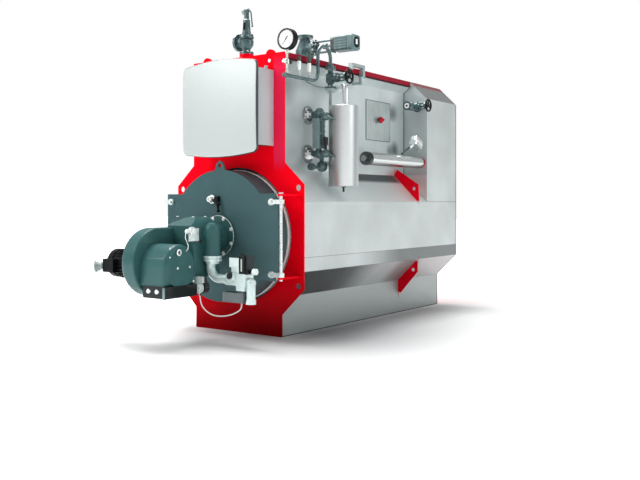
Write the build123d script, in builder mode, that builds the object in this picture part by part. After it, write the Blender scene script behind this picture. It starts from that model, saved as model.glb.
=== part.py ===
# Industrial fire-tube boiler with a hinged burner door, sheet casing and fittings.
# Units are millimetres. +Z is up, -Y is the burner side, +X the fittings side.
# The origin is on the floor at the middle of the base.
from build123d import *
import math
import os

os.makedirs("parts", exist_ok=True)

# Overall sizes
length = 2592
height = 2150
front_y = -length / 2
rear_y = length / 2
plate = 12
sheet = 3
gap = 0.5
touch = 0.3

# Pressure body
shell_r = 590
shell_wall = 14
shell_ground = 170
axis_z = shell_r + shell_ground
tube_plate_y = front_y + 75
shell_end_y = rear_y - 60
flame_r = 235
flame_wall = 12
flame_end_y = shell_end_y - 557
smoke_r = 24
smoke_ring_r = flame_r + 95
smoke_count = 26

# Casing section, right half
side_x = shell_r + 51
foot_x = side_x - 204
recess_x = side_x - 241
roof_x = recess_x + 63
foot_top = axis_z - 462
side_bottom = foot_top + side_x - foot_x
ledge_z = axis_z + 262
recess_foot_z = ledge_z + side_x - recess_x
shoulder_z = height - 175
rail_bottom = height - 53
rear_bay = 622
recess_end_y = rear_y - rear_bay

# Door
door_face_y = front_y - 206
door_plate = 12
seat_outer_r = shell_r - 82
seat_bore_r = seat_outer_r - 28
seat_front_y = front_y - 12
drum_r = seat_outer_r - 4
drum_wall = 10
joint_gap = 5
wing_x = drum_r + 52
wing_low = axis_z - 316
wing_high = axis_z + 321
plug_r = seat_bore_r - 40
burner_bore_r = 112
bolt_x = drum_r + 4

# Door hinge
hinge_x = wing_x + 31
hinge_y = door_face_y
rod_r = 11
bracket_top_z = axis_z + 302
bracket_bottom_z = axis_z - 302
bracket_h = 14
rod_low = bracket_bottom_z - 12
rod_high = bracket_top_z + bracket_h + 3
eye_high = axis_z + 259
eye_low = axis_z - 271
running_gap = 0.5


def mirrored(points):
    """The points with X turned about, in the opposite order."""
    return [(-x, z) for x, z in reversed(points)]


def face_plane(y):
    """Upright plane facing the burner side, with X across and Z up."""
    return Plane(origin=(0, y, 0), x_dir=(1, 0, 0), z_dir=(0, -1, 0))


def side_plane(x):
    """Upright plane facing the fittings side, with Y across and Z up."""
    return Plane(origin=(x, 0, 0), x_dir=(0, 1, 0), z_dir=(1, 0, 0))


def parallel(points, distance):
    """Points of the parallel line on the left of the given one."""
    shifted = []
    for i, (x, z) in enumerate(points):
        normals = []
        for a, b in ((i - 1, i), (i, i + 1)):
            if a < 0 or b >= len(points):
                continue
            dx = points[b][0] - points[a][0]
            dz = points[b][1] - points[a][1]
            run = math.hypot(dx, dz)
            normals.append((-dz / run, dx / run))
        nx = sum(n[0] for n in normals)
        nz = sum(n[1] for n in normals)
        scale = distance * len(normals) / (nx * nx + nz * nz)
        shifted.append((x + nx * scale, z + nz * scale))
    return shifted


def band(points, thickness):
    """Closed outline of a bent sheet lying on the left of the points."""
    return points + list(reversed(parallel(points, thickness)))


def rod(a, b, r, bore=0):
    """Round bar or tube between two points."""
    start = Vector(*a)
    run = Vector(*b) - start
    with BuildPart() as bar:
        with BuildSketch(Plane(origin=start, z_dir=run)):
            Circle(r)
            if bore:
                Circle(bore, mode=Mode.SUBTRACT)
        extrude(amount=run.length)
    return bar.part


def turned(origin, direction, profile):
    """Turned piece: (height, radius) steps along an axis from the origin."""
    along = Vector(*direction).normalized()
    base = Plane(origin=origin, z_dir=along)
    half = Plane(origin=origin, x_dir=base.x_dir, z_dir=base.x_dir.cross(along))
    outline = [(0, profile[0][0])]
    outline += [(r, h) for h, r in profile]
    outline += [(0, profile[-1][0])]
    with BuildPart() as piece:
        with BuildSketch(half):
            with BuildLine():
                Polyline(outline, close=True)
            make_face()
        revolve(axis=Axis(origin, along))
    return piece.part


def pipe(points, radii, r):
    """Round pipe along straight runs joined by bends."""
    with BuildPart() as run:
        with BuildLine() as route:
            FilletPolyline(points, radius=radii)
        with BuildSketch(Plane(origin=route.line @ 0, z_dir=route.line % 0)):
            Circle(r)
        sweep(path=route.line)
    return run.part


# Front frame: cut plate with the round door opening, brackets and lashing holes
front_half = [
    (foot_x, 0),
    (foot_x, foot_top - 131),
    (side_x, side_bottom - 133),
    (side_x, ledge_z + 127),
    (roof_x, ledge_z + 293),
    (roof_x, height),
]
opening_r = seat_outer_r + 20
lash_r = 23.5
lash_x = side_x - 51
lash_low = side_bottom - 110
lash_high = ledge_z + 102
lug_x = roof_x - 140

with BuildPart() as front_frame:
    with BuildSketch(face_plane(front_y)):
        with BuildLine():
            Polyline(front_half + mirrored(front_half), close=True)
        make_face()
        with Locations((0, axis_z)):
            Circle(opening_r, mode=Mode.SUBTRACT)
        with Locations(
            (lash_x, lash_low),
            (lash_x, lash_high),
            (-lash_x, lash_low),
            (-lash_x, lash_high),
        ):
            Circle(lash_r, mode=Mode.SUBTRACT)
        with Locations((lug_x - 4, height - 55), (4 - lug_x, height - 55)):
            Circle(10, mode=Mode.SUBTRACT)
    extrude(amount=-plate)
    # lifting lugs that stand over the roof
    with BuildSketch(face_plane(front_y + 3)):
        with Locations((lug_x, height - 8), (-lug_x, height - 8)):
            Circle(40)
        with Locations((0, height - 100)):
            Rectangle(2 * roof_x, 2 * 100, mode=Mode.SUBTRACT)
    extrude(amount=-24)
    # hinge brackets
    for z in (bracket_top_z, bracket_bottom_z):
        with BuildSketch(Plane.XY.offset(z)):
            with Locations((hinge_x, hinge_y)):
                Circle(24)
            with Locations((hinge_x + 4, (hinge_y + front_y) / 2)):
                Rectangle(40, front_y - hinge_y)
            with Locations((hinge_x, hinge_y)):
                Circle(rod_r, mode=Mode.SUBTRACT)
        extrude(amount=bracket_h)
    # lugs for the closing bolts
    for z in (eye_low, eye_high):
        with BuildSketch(Plane.XY.offset(z - 7)):
            with Locations((-(wing_x + 34), (door_face_y + front_y) / 2 + 60)):
                Rectangle(30, front_y - door_face_y - 120)
        extrude(amount=14)
front_frame.part.label = "front_frame"
export_step(front_frame.part, "parts/front_frame.step")

# Middle frame: carries the shell and ends in four ears outside the casing
mid_y = recess_end_y - 180
runner_w = 90
runner_h = 120
ear_r = 17
upper_ear = [
    (recess_x + 33, recess_foot_z - 8),
    (recess_x + 25, recess_foot_z + 56),
    (side_x + 1, ledge_z + 157),
    (side_x + 10, ledge_z + 6),
]
lower_ear = [
    (side_x - 6, side_bottom - 18),
    (side_x - 6, side_bottom - 118),
    (foot_x + 21, foot_top - 118),
    (foot_x + 7, foot_top),
]
upper_neck = [
    (recess_x - 15, recess_foot_z - 23),
    (side_x - 41, ledge_z + 8),
    (side_x + 10, ledge_z + 6),
    (recess_x + 25, recess_foot_z + 56),
]
lower_neck = [
    (foot_x - 7, foot_top - 8),
    (side_x - 31, side_bottom - 32),
    (side_x - 6, side_bottom - 18),
    (foot_x + 21, foot_top - 118),
    (foot_x - 7, foot_top - 98),
]
frame_inset = sheet + gap
mid_half = [
    (foot_x - frame_inset, runner_h),
    (foot_x - frame_inset, foot_top),
    (side_x - frame_inset, side_bottom),
    (side_x - frame_inset, ledge_z),
    (recess_x - frame_inset, recess_foot_z - 2),
    (recess_x - frame_inset, recess_foot_z + 90),
]

with BuildPart() as mid_frame:
    with BuildSketch(face_plane(mid_y)):
        with BuildLine():
            Polyline(mid_half + mirrored(mid_half), close=True)
        make_face()
        for side in (1, -1):
            for corners in (upper_ear, lower_ear, upper_neck, lower_neck):
                with BuildLine():
                    Polyline([(side * x, z) for x, z in corners], close=True)
                make_face()
        with Locations((0, axis_z)):
            Circle(shell_r + touch, mode=Mode.SUBTRACT)
        for side in (1, -1):
            with Locations(
                (side * (side_x - 41), ledge_z + 120),
                (side * (side_x - 51), side_bottom - 102),
            ):
                Circle(ear_r, mode=Mode.SUBTRACT)
    extrude(amount=-plate)
mid_frame.part.label = "mid_frame"
export_step(mid_frame.part, "parts/mid_frame.step")

# Rear frame: closing plate, flush with the casing
rear_half = [
    (foot_x, 0),
    (foot_x, foot_top),
    (side_x, side_bottom),
    (side_x, shoulder_z),
    (roof_x, height),
]

with BuildPart() as rear_frame:
    with BuildSketch(face_plane(rear_y - plate)):
        with BuildLine():
            Polyline(rear_half + mirrored(rear_half), close=True)
        make_face()
    extrude(amount=-plate)
rear_frame.part.label = "rear_frame"
export_step(rear_frame.part, "parts/rear_frame.step")

# Base frame: two runners on the floor with saddles that carry the shell
runner_x = foot_x - sheet - 4 - runner_w / 2
runner_len = length - 2 * plate - 2 * gap
saddle_y = (front_y + 420, 0, rear_y - 420)
saddle_w = 100
saddle_h = shell_ground + 80

with BuildPart() as base_frame:
    with Locations((runner_x, 0, runner_h / 2), (-runner_x, 0, runner_h / 2)):
        Box(runner_w, runner_len, runner_h)
    with Locations([(0, y, saddle_h / 2) for y in saddle_y]):
        Box(2 * runner_x, saddle_w, saddle_h)
    with Locations((0, 0, axis_z)):
        Cylinder(
            shell_r + touch,
            length,
            rotation=(90, 0, 0),
            mode=Mode.SUBTRACT,
        )
base_frame.part.label = "base_frame"
export_step(base_frame.part, "parts/base_frame.step")

# Casing sheets, the same on both sides
casing_y0 = front_y + plate + gap
casing_y1 = rear_y - plate - gap
slot_w = plate + 2 * gap
slot_y = mid_y + plate / 2
lower_line = [
    (foot_x, 0),
    (foot_x, foot_top),
    (side_x, side_bottom),
    (side_x, ledge_z),
    (recess_x, recess_foot_z),
]
wall_line = [
    (recess_x, recess_foot_z + gap),
    (recess_x, height - 107),
    (roof_x - 1, rail_bottom - sheet - 2),
]
rear_line = [
    (side_x, ledge_z + 4.5),
    (side_x, shoulder_z),
    (roof_x, height),
]
rail_line = [
    (roof_x, rail_bottom),
    (roof_x, height),
    (roof_x - 60, height),
]


def bent_sheet(points, side, y0, y1, thickness=sheet):
    """Sheet bent along a section line, on the inner side of the line."""
    outline = band(points, thickness)
    with BuildPart() as bent:
        with BuildSketch(face_plane(y0)):
            with BuildLine():
                Polyline([(side * x, z) for x, z in outline], close=True)
            make_face()
        extrude(amount=y0 - y1)
    return bent.part


for side, word in ((1, "right"), (-1, "left")):
    with BuildPart() as casing_side:
        add(bent_sheet(lower_line, side, casing_y0, casing_y1))
        # slots for the ears
        for low, high in (
            (foot_top - 158, side_bottom + 18),
            (ledge_z - 22, recess_foot_z + 137),
        ):
            with Locations((side * (side_x - 91), slot_y, (low + high) / 2)):
                Box(340, slot_w, high - low, mode=Mode.SUBTRACT)
    casing_side.part.label = f"casing_side_{word}"
    export_step(casing_side.part, f"parts/casing_side_{word}.step")

    with BuildPart() as recess_wall:
        add(bent_sheet(wall_line, side, casing_y0, recess_end_y - gap))
        with Locations((side * recess_x, slot_y, recess_foot_z + 50)):
            Box(60, slot_w, 130, mode=Mode.SUBTRACT)
    recess_wall.part.label = f"recess_wall_{word}"
    export_step(recess_wall.part, f"parts/recess_wall_{word}.step")

    with BuildPart() as rear_casing:
        add(bent_sheet(rear_line, side, recess_end_y, casing_y1))
        # end wall that closes the recess
        with BuildSketch(face_plane(recess_end_y)):
            with BuildLine():
                Polyline(
                    [
                        (side * recess_x, recess_foot_z + 3),
                        (side * (side_x - 1), ledge_z + 5.5),
                        (side * (side_x - 1), shoulder_z),
                        (side * (roof_x - 4), height - sheet - gap),
                        (side * recess_x, height - sheet - gap),
                    ],
                    close=True,
                )
            make_face()
        extrude(amount=-sheet)
    rear_casing.part.label = f"rear_casing_{word}"
    export_step(rear_casing.part, f"parts/rear_casing_{word}.step")

    with BuildPart() as roof_rail:
        add(bent_sheet(rail_line, side, casing_y0, recess_end_y - gap, 8))
    roof_rail.part.label = f"roof_rail_{word}"
    export_step(roof_rail.part, f"parts/roof_rail_{word}.step")

with BuildPart() as roof_sheet:
    roof_half = roof_x - 60 - gap
    with Locations((0, (casing_y0 + recess_end_y - gap) / 2, height - sheet / 2)):
        Box(2 * roof_half, recess_end_y - gap - casing_y0, sheet)
    with Locations((0, (recess_end_y + casing_y1) / 2, height - sheet / 2)):
        Box(2 * (roof_x - sheet - gap), casing_y1 - recess_end_y + 2 * gap, sheet)
roof_sheet.part.label = "roof_sheet"
export_step(roof_sheet.part, "parts/roof_sheet.step")

# Pressure body: shell, tube plate with smoke tube holes, flame tube and door seat
with BuildPart() as boiler_shell:
    shell_len = shell_end_y - tube_plate_y
    with Locations(Location((0, tube_plate_y, axis_z), (-90, 0, 0))):
        Cylinder(shell_r, shell_len, align=(Align.CENTER, Align.CENTER, Align.MIN))
        Cylinder(
            shell_r - shell_wall,
            shell_len - shell_wall,
            align=(Align.CENTER, Align.CENTER, Align.MIN),
            mode=Mode.SUBTRACT,
        )
boiler_shell.part.label = "boiler_shell"
export_step(boiler_shell.part, "parts/boiler_shell.step")

with BuildPart() as tube_plate:
    with BuildSketch(face_plane(tube_plate_y)):
        with Locations((0, axis_z)):
            Circle(shell_r - shell_wall - gap)
            Circle(flame_r, mode=Mode.SUBTRACT)
            with PolarLocations(smoke_ring_r, smoke_count):
                Circle(smoke_r, mode=Mode.SUBTRACT)
            with PolarLocations(smoke_ring_r + 75, smoke_count + 4):
                Circle(smoke_r, mode=Mode.SUBTRACT)
    extrude(amount=-22)
tube_plate.part.label = "tube_plate"
export_step(tube_plate.part, "parts/tube_plate.step")

with BuildPart() as flame_tube:
    flame_len = flame_end_y - tube_plate_y
    with Locations(Location((0, tube_plate_y, axis_z), (-90, 0, 0))):
        Cylinder(
            flame_r - gap, flame_len, align=(Align.CENTER, Align.CENTER, Align.MIN)
        )
        Cylinder(
            flame_r - flame_wall,
            flame_len - flame_wall,
            align=(Align.CENTER, Align.CENTER, Align.MIN),
            mode=Mode.SUBTRACT,
        )
flame_tube.part.label = "flame_tube"
export_step(flame_tube.part, "parts/flame_tube.step")

with BuildPart() as door_seat:
    with BuildSketch(face_plane(seat_front_y)):
        with Locations((0, axis_z)):
            Circle(seat_outer_r)
            Circle(seat_bore_r, mode=Mode.SUBTRACT)
    extrude(amount=seat_front_y - tube_plate_y)
door_seat.part.label = "door_seat"
export_step(door_seat.part, "parts/door_seat.step")

# Door: plate with wings, deep rim, lifting eye, sight port and a bore for the burner
lift_z = axis_z + 538
sight_x = -79
sight_z = axis_z + 278

with BuildPart() as door:
    with BuildSketch(face_plane(door_face_y)):
        with Locations((0, axis_z)):
            Circle(drum_r)
        with Locations((0, (wing_low + wing_high) / 2)):
            Rectangle(2 * wing_x, wing_high - wing_low)
        # room for the hinge brackets to pass
        for z in (bracket_top_z + bracket_h / 2, bracket_bottom_z + bracket_h / 2):
            with Locations((wing_x, z)):
                Rectangle(2 * 20, bracket_h + 30, mode=Mode.SUBTRACT)
        with BuildLine():
            Polyline(
                [
                    (-60, lift_z - 58),
                    (60, lift_z - 58),
                    (34, lift_z + 12),
                    (12, lift_z + 34),
                    (-12, lift_z + 34),
                    (-34, lift_z + 12),
                ],
                close=True,
            )
        make_face()
        with Locations((0, lift_z)):
            Circle(16, mode=Mode.SUBTRACT)
        with Locations((0, axis_z)):
            Circle(burner_bore_r, mode=Mode.SUBTRACT)
    extrude(amount=-door_plate)
    with BuildSketch(face_plane(door_face_y + door_plate)):
        with Locations((0, axis_z)):
            Circle(drum_r)
            Circle(drum_r - drum_wall, mode=Mode.SUBTRACT)
    extrude(amount=door_face_y + door_plate - seat_front_y + joint_gap)
    # sight port: flanged ring round a shallow glass seat
    with BuildSketch(face_plane(door_face_y)):
        with Locations((sight_x, sight_z)):
            Circle(22)
    extrude(amount=16)
    with BuildSketch(face_plane(door_face_y - 16)):
        with Locations((sight_x, sight_z)):
            Circle(14)
    extrude(amount=-10, mode=Mode.SUBTRACT)
door.part.label = "door"
export_step(door.part, "parts/door.step")

with BuildPart() as door_lining:
    lining_y = door_face_y + door_plate + gap
    with BuildSketch(face_plane(lining_y)):
        with Locations((0, axis_z)):
            Circle(drum_r - drum_wall - gap)
            Circle(burner_bore_r, mode=Mode.SUBTRACT)
    extrude(amount=lining_y - seat_front_y + joint_gap)
    with BuildSketch(face_plane(seat_front_y - joint_gap)):
        with Locations((0, axis_z)):
            Circle(plug_r)
            Circle(burner_bore_r, mode=Mode.SUBTRACT)
    extrude(amount=-45)
door_lining.part.label = "door_lining"
export_step(door_lining.part, "parts/door_lining.step")

# Hinge pin with round ends
with BuildPart() as hinge_rod:
    with Locations((hinge_x, hinge_y, (rod_low + rod_high) / 2)):
        Cylinder(rod_r - 0.05, rod_high - rod_low)
    with Locations((hinge_x, hinge_y, rod_high + 4)):
        Cylinder(17, 8)
hinge_rod.part.label = "hinge_rod"
export_step(hinge_rod.part, "parts/hinge_rod.step")


def bolt_head(x, z):
    """Nut with its stud end, standing on the door."""
    return turned((x, door_face_y, z), (0, -1, 0), [(gap, 25), (18, 25), (18, 15), (34, 15)])


# Eye bolts of the hinge: a head on the door, a shank and an eye round the pin
for z, word in ((eye_high, "upper"), (eye_low, "lower")):
    with BuildPart() as hinge_eye:
        with BuildSketch(Plane.XY.offset(z - 16)):
            with Locations((hinge_x, hinge_y)):
                Circle(24)
            with Locations(((bolt_x + hinge_x) / 2 + 10, hinge_y - 14)):
                Rectangle(hinge_x - bolt_x - 19, 20)
            with Locations((hinge_x, hinge_y)):
                Circle(rod_r + running_gap, mode=Mode.SUBTRACT)
        extrude(amount=32)
        add(bolt_head(bolt_x, z))
    hinge_eye.part.label = f"hinge_eye_{word}"
    export_step(hinge_eye.part, f"parts/hinge_eye_{word}.step")

# Closing bolts on the free side
for z, word in ((eye_high, "upper"), (eye_low, "lower")):
    with BuildPart() as closing_bolt:
        add(bolt_head(-bolt_x, z))
        with Locations((-(bolt_x + 32), door_face_y - 9, z)):
            Box(64, 12, 32)
    closing_bolt.part.label = f"closing_bolt_{word}"
    export_step(closing_bolt.part, f"parts/closing_bolt_{word}.step")

# Cabinet with arched and crowned cover
cabinet_x = 361
cabinet_depth = 200
cabinet_high = height - 131
cabinet_low = cabinet_high - 575
cabinet_back_y = front_y - gap
cover_x = cabinet_x + 13
cover_high = cabinet_high + 85
cover_low = cabinet_low - 86
cover_bulge = 34
cover_depth = 36
crown_r = 7000

with BuildPart() as cabinet_body:
    with Locations((0, cabinet_back_y - cabinet_depth / 2, (cabinet_low + cabinet_high) / 2)):
        Box(2 * cabinet_x, cabinet_depth, cabinet_high - cabinet_low)
    with Locations((cabinet_x - 42, cabinet_back_y - 40, cabinet_high + 16)):
        Cylinder(14, 32)
cabinet_body.part.label = "cabinet_body"
export_step(cabinet_body.part, "parts/cabinet_body.step")

cover_y = cabinet_back_y - cabinet_depth - gap
with BuildPart() as cabinet_cover:
    with BuildSketch(face_plane(cover_y)):
        with BuildLine():
            Line((-cover_x, cover_low + cover_bulge), (-cover_x, cover_high - cover_bulge))
            ThreePointArc(
                (-cover_x, cover_high - cover_bulge),
                (0, cover_high),
                (cover_x, cover_high - cover_bulge),
            )
            Line((cover_x, cover_high - cover_bulge), (cover_x, cover_low + cover_bulge))
            ThreePointArc(
                (cover_x, cover_low + cover_bulge),
                (0, cover_low),
                (-cover_x, cover_low + cover_bulge),
            )
        make_face()
    extrude(amount=cover_depth)
    fillet(cabinet_cover.edges().filter_by(Axis.Y), 46)
    with Locations((0, cover_y - cover_depth + crown_r, (cover_low + cover_high) / 2)):
        Sphere(crown_r, mode=Mode.INTERSECT)
    fillet(cabinet_cover.faces().sort_by(Axis.Y)[0].edges(), 12)
cabinet_cover.part.label = "cabinet_cover"
export_step(cabinet_cover.part, "parts/cabinet_cover.step")

# Burner on the door: flange, head body, fan scroll, intake hood, motor
head_r = 150
flange_r = 158
flange_y = door_face_y - 20
head_front_y = front_y - 655
head_rear_y = front_y - 376
head_low = axis_z - 277
neck_r = 96
fan_y = front_y - 800
fan_z = axis_z - 170
fan_r = 244
fan_x0 = -200
fan_x1 = -55
fan_round = 50
duct_top = fan_z + fan_r
crest_y = front_y - 520
hood_x = 190
hood_y = front_y - 826
hood_r = 150
hood_round = 34
hood_low = axis_z - 320
hood_z = axis_z - 185
tray_x0 = -25
tray_low = axis_z - 404
motor_z = axis_z - 192
motor_r = 105
motor_len = 310
gas_x = head_r + 54
gas_y = front_y - 517
gas_inlet_z = axis_z - 128
gas_flange_r = 66

with BuildPart() as burner_flange:
    with BuildSketch(face_plane(flange_y)):
        with Locations((0, axis_z)):
            Circle(flange_r)
            with PolarLocations(flange_r - 18, 8, start_angle=22.5):
                Circle(7, mode=Mode.SUBTRACT)
    extrude(amount=flange_y - door_face_y + gap)
    rim = burner_flange.faces().sort_by(Axis.Y)[0].edges().group_by(SortBy.LENGTH)[-1]
    chamfer(rim, 3)
    with BuildSketch(face_plane(door_face_y - gap)):
        with Locations((0, axis_z)):
            Circle(burner_bore_r - 8)
            Circle(burner_bore_r - 20, mode=Mode.SUBTRACT)
    extrude(amount=-300)
burner_flange.part.label = "burner_flange"
export_step(burner_flange.part, "parts/burner_flange.step")


def fan_scroll():
    """Fan drum whose outlet runs off straight at the top, rounded at its rims."""
    with BuildPart() as scroll:
        with BuildSketch(side_plane(fan_x0)):
            with Locations((fan_y, fan_z)):
                Circle(fan_r)
            with Locations((fan_y + fan_r / 2, fan_z + fan_r / 2)):
                Rectangle(fan_r, fan_r)
        extrude(amount=fan_x1 - fan_x0)
        fillet(scroll.faces().sort_by(Axis.X)[0].edges(), fan_round)
        fillet(scroll.faces().sort_by(Axis.X)[-1].edges(), 12)
    return scroll.part


def burner_head():
    """Head body with a round top that slopes down to the fan duct."""
    with BuildPart() as head:
        with BuildSketch(face_plane(head_front_y)):
            with Locations((0, axis_z)):
                Circle(head_r)
            with Locations((0, (axis_z + head_low) / 2)):
                Rectangle(2 * head_r, axis_z - head_low)
        extrude(amount=head_front_y - head_rear_y)
        with BuildSketch(side_plane(-head_r)):
            with BuildLine():
                Polyline(
                    [
                        (head_front_y, duct_top + 14),
                        (crest_y, axis_z + head_r),
                        (head_front_y, axis_z + head_r),
                    ],
                    close=True,
                )
            make_face()
        extrude(amount=2 * head_r, mode=Mode.SUBTRACT)
        fillet(head.faces().sort_by(Axis.Y)[0].edges().filter_by(Axis.Z), 22)
        # round neck to the flange
        add(rod((0, head_rear_y - 20, axis_z), (0, flange_y - gap, axis_z), neck_r))
    return head.part


with BuildPart() as burner_casing:
    add(burner_head())
    add(fan_scroll())
    # hinge knuckle of the head on the far side
    knuckle_x = -(head_r + 34)
    add(rod((knuckle_x, crest_y - 30, axis_z + 82), (knuckle_x, crest_y + 50, axis_z + 82), 26))
    with Locations((knuckle_x / 2 - 50, crest_y + 10, axis_z + 72)):
        Box(100, 60, 36)
    # relief for the flange of the gas pipe, and the gas inlet above it
    with Locations((gas_x, gas_y, gas_inlet_z - 31)):
        Cylinder(gas_flange_r + 2, 62, mode=Mode.SUBTRACT)
    add(
        turned(
            (gas_x, gas_y, gas_inlet_z),
            (0, 0, 1),
            [(0, 56), (192, 56), (214, 48), (230, 36), (238, 20)],
        )
    )
    with Locations(((head_r + gas_x) / 2 - 10, gas_y, gas_inlet_z + 96)):
        Box(gas_x - head_r + 20, 90, 176)
burner_casing.part.label = "burner_casing"
export_step(burner_casing.part, "parts/burner_casing.step")

hood_x0 = fan_x1 + gap
with BuildPart() as intake_hood:
    with BuildSketch(side_plane(hood_x0)):
        with Locations((hood_y, hood_z)):
            Circle(hood_r)
        with Locations((hood_y, (hood_z + hood_low) / 2)):
            Rectangle(2 * hood_r, hood_z - hood_low)
    extrude(amount=hood_x - hood_x0)
    rim = intake_hood.faces().sort_by(Axis.X)[-1].edges().sort_by(Axis.Z)[1:]
    fillet(rim, hood_round)
    # tray below, open joint line round it
    with Locations(((tray_x0 + hood_x + 5) / 2, hood_y, (hood_low + tray_low) / 2)):
        Box(hood_x + 5 - tray_x0, 2 * hood_r + 12, hood_low - tray_low)
    fillet(intake_hood.faces().sort_by(Axis.Z)[0].edges(), 10)
    # sight glass ring
    with BuildSketch(side_plane(hood_x)):
        with Locations((hood_y - 28, hood_z + 91)):
            Circle(25)
            Circle(17, mode=Mode.SUBTRACT)
    extrude(amount=6)
intake_hood.part.label = "intake_hood"
export_step(intake_hood.part, "parts/intake_hood.step")

with BuildPart() as burner_motor:
    add(
        turned(
            (fan_x0 - gap, fan_y, motor_z),
            (-1, 0, 0),
            [
                (0, motor_r + 10),
                (20, motor_r + 10),
                (20, motor_r - 6),
                (motor_len - 74, motor_r - 6),
                (motor_len - 74, motor_r),
                (motor_len - 24, motor_r),
                (motor_len - 6, motor_r - 14),
                (motor_len, motor_r - 40),
            ],
        )
    )
    # cooling ribs along the stator
    rib_from = fan_x0 - gap - 20
    with Locations(Location((rib_from, fan_y, motor_z), (0, -90, 0))):
        with PolarLocations(motor_r - 8, 20):
            with Locations((0, 0, (motor_len - 94) / 2)):
                Box(14, 4, motor_len - 94)
    # terminal box
    with Locations((-440, fan_y - motor_r - 4, motor_z - 12)):
        Box(110, 56, 96)
burner_motor.part.label = "burner_motor"
export_step(burner_motor.part, "parts/burner_motor.step")

with BuildPart() as motor_plug:
    plug_dir = Vector(-0.8, -0.6, -0.15).normalized()
    plug_from = Vector(-495.3 - gap, fan_y - motor_r - 8, motor_z - 14)
    add(
        turned(
            plug_from,
            plug_dir,
            [(18, 28), (44, 30), (44, 34), (62, 34), (62, 42), (74, 42)],
        )
    )
    add(rod(plug_from, plug_from + plug_dir * 20, 20))
    with Locations((-495 + 50, fan_y - motor_r, motor_z)):
        Box(100, 200, 200, mode=Mode.SUBTRACT)
motor_plug.part.label = "motor_plug"
export_step(motor_plug.part, "parts/motor_plug.step")

# Pressure switch on a tab at the near corner of the head
switch_y = head_front_y - 39
switch_z = axis_z + 54

with BuildPart() as air_switch:
    with Locations((head_r + gap + 2, head_front_y - 4, axis_z + 26)):
        Box(4, 104, 92)
    add(
        turned(
            (head_r + gap + 4, switch_y, switch_z),
            (1, 0, 0),
            [(-1, 16), (5, 16), (5, 29), (24, 29), (28, 23), (28, 14), (38, 14)],
        )
    )
    add(
        turned(
            (head_r + 20, switch_y - 24, switch_z),
            (0, -1, -0.1),
            [(0, 12), (12, 12), (12, 17), (34, 17), (38, 8), (44, 8)],
        )
    )
air_switch.part.label = "air_switch"
export_step(air_switch.part, "parts/air_switch.step")

# Gas train: flanged elbow, valve block with two drives, regulator and inlet pipe
gas_z = axis_z - 290
gas_r = 32
pipe_x = gas_x - 16
block_x0 = 371
block_x1 = 545
block_low = gas_z - 40
block_high = gas_z + 48
inlet_x = 561
inlet_low = axis_z - 452
regulator_low = axis_z - 445
regulator_high = axis_z - 376

with BuildPart() as gas_elbow:
    add(
        pipe(
            [
                (pipe_x, gas_y, gas_inlet_z - 40),
                (pipe_x, gas_y, gas_z),
                (block_x0 - gap, gas_y, gas_z),
            ],
            [84],
            gas_r,
        )
    )
    add(
        turned(
            (gas_x, gas_y, gas_inlet_z - 58),
            (0, 0, 1),
            [
                (0, 46),
                (16, 50),
                (20, gas_flange_r - 2),
                (34, gas_flange_r),
                (34, 55),
                (40, 55),
                (40, gas_flange_r),
                (58 - gap, gas_flange_r),
            ],
        )
    )
    add(rod((block_x0 - 34, gas_y, gas_z), (block_x0 - 12, gas_y, gas_z), gas_r + 7))
gas_elbow.part.label = "gas_elbow"
export_step(gas_elbow.part, "parts/gas_elbow.step")

with BuildPart() as gas_valve:
    with Locations(((block_x0 + block_x1) / 2, gas_y, (block_low + block_high) / 2)):
        Box(block_x1 - block_x0, 92, block_high - block_low)
    fillet(gas_valve.edges().filter_by(Axis.Y), 8)
    # low step that carries the regulator
    with Locations((block_x1 - 50, gas_y, block_low - 14)):
        Box(80, 80, 34)
    # front cap and inlet elbow
    add(
        turned(
            (428, gas_y - 46, gas_z + 28),
            (0, -1, 0),
            [(-6, 34), (20, 34), (26, 28), (26, 16), (34, 16)],
        )
    )
    add(rod((block_x1 - 20, gas_y, gas_z - 16), (inlet_x, gas_y, gas_z - 16), 34))
    with Locations((inlet_x, gas_y, gas_z - 16)):
        Sphere(36)
    add(
        turned(
            (inlet_x, gas_y, inlet_low),
            (0, 0, 1),
            [(0, 36), (34, 36), (34, 32), (gas_z - 16 - inlet_low, 32)],
        )
    )
    with Locations((inlet_x, gas_y, inlet_low)):
        Cylinder(20.5, 60, mode=Mode.SUBTRACT)
gas_valve.part.label = "gas_valve"
export_step(gas_valve.part, "parts/gas_valve.step")

drive_x = block_x0 + 72
coil_x = block_x1 - 26
with BuildPart() as gas_drives:
    # bright housing of the first drive on its dark neck
    with Locations((drive_x, gas_y, block_high + gap + 22)):
        Box(70, 60, 44)
    with Locations((drive_x, gas_y, block_high + 44 + 33)):
        Box(92, 80, 68)
    # second drive with its upright rod
    with Locations((coil_x, gas_y, block_high + gap + 62)):
        Box(76, 78, 124)
    add(
        turned(
            (coil_x + 12, gas_y - 46, block_high + 6),
            (0, 0, 1),
            [(0, 9), (122, 9), (122, 15), (142, 15)],
        )
    )
    with Locations((coil_x + 12, gas_y - 36, block_high + 30)):
        Box(16, 20, 16)
    with Locations((coil_x + 12, gas_y - 36, block_high + 100)):
        Box(16, 20, 16)
    # side knob
    add(
        turned(
            (coil_x + 38, gas_y, block_high + 16),
            (1, 0, 0),
            [(-4, 14), (26, 14), (26, 22), (52, 22), (58, 16)],
        )
    )
    with Locations(((drive_x + coil_x) / 2, gas_y, block_high + 30)):
        Box(coil_x - drive_x, 40, 30)
gas_drives.part.label = "gas_drives"
export_step(gas_drives.part, "parts/gas_drives.step")

regulator_x0 = 334
regulator_x1 = inlet_x - 37

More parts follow.
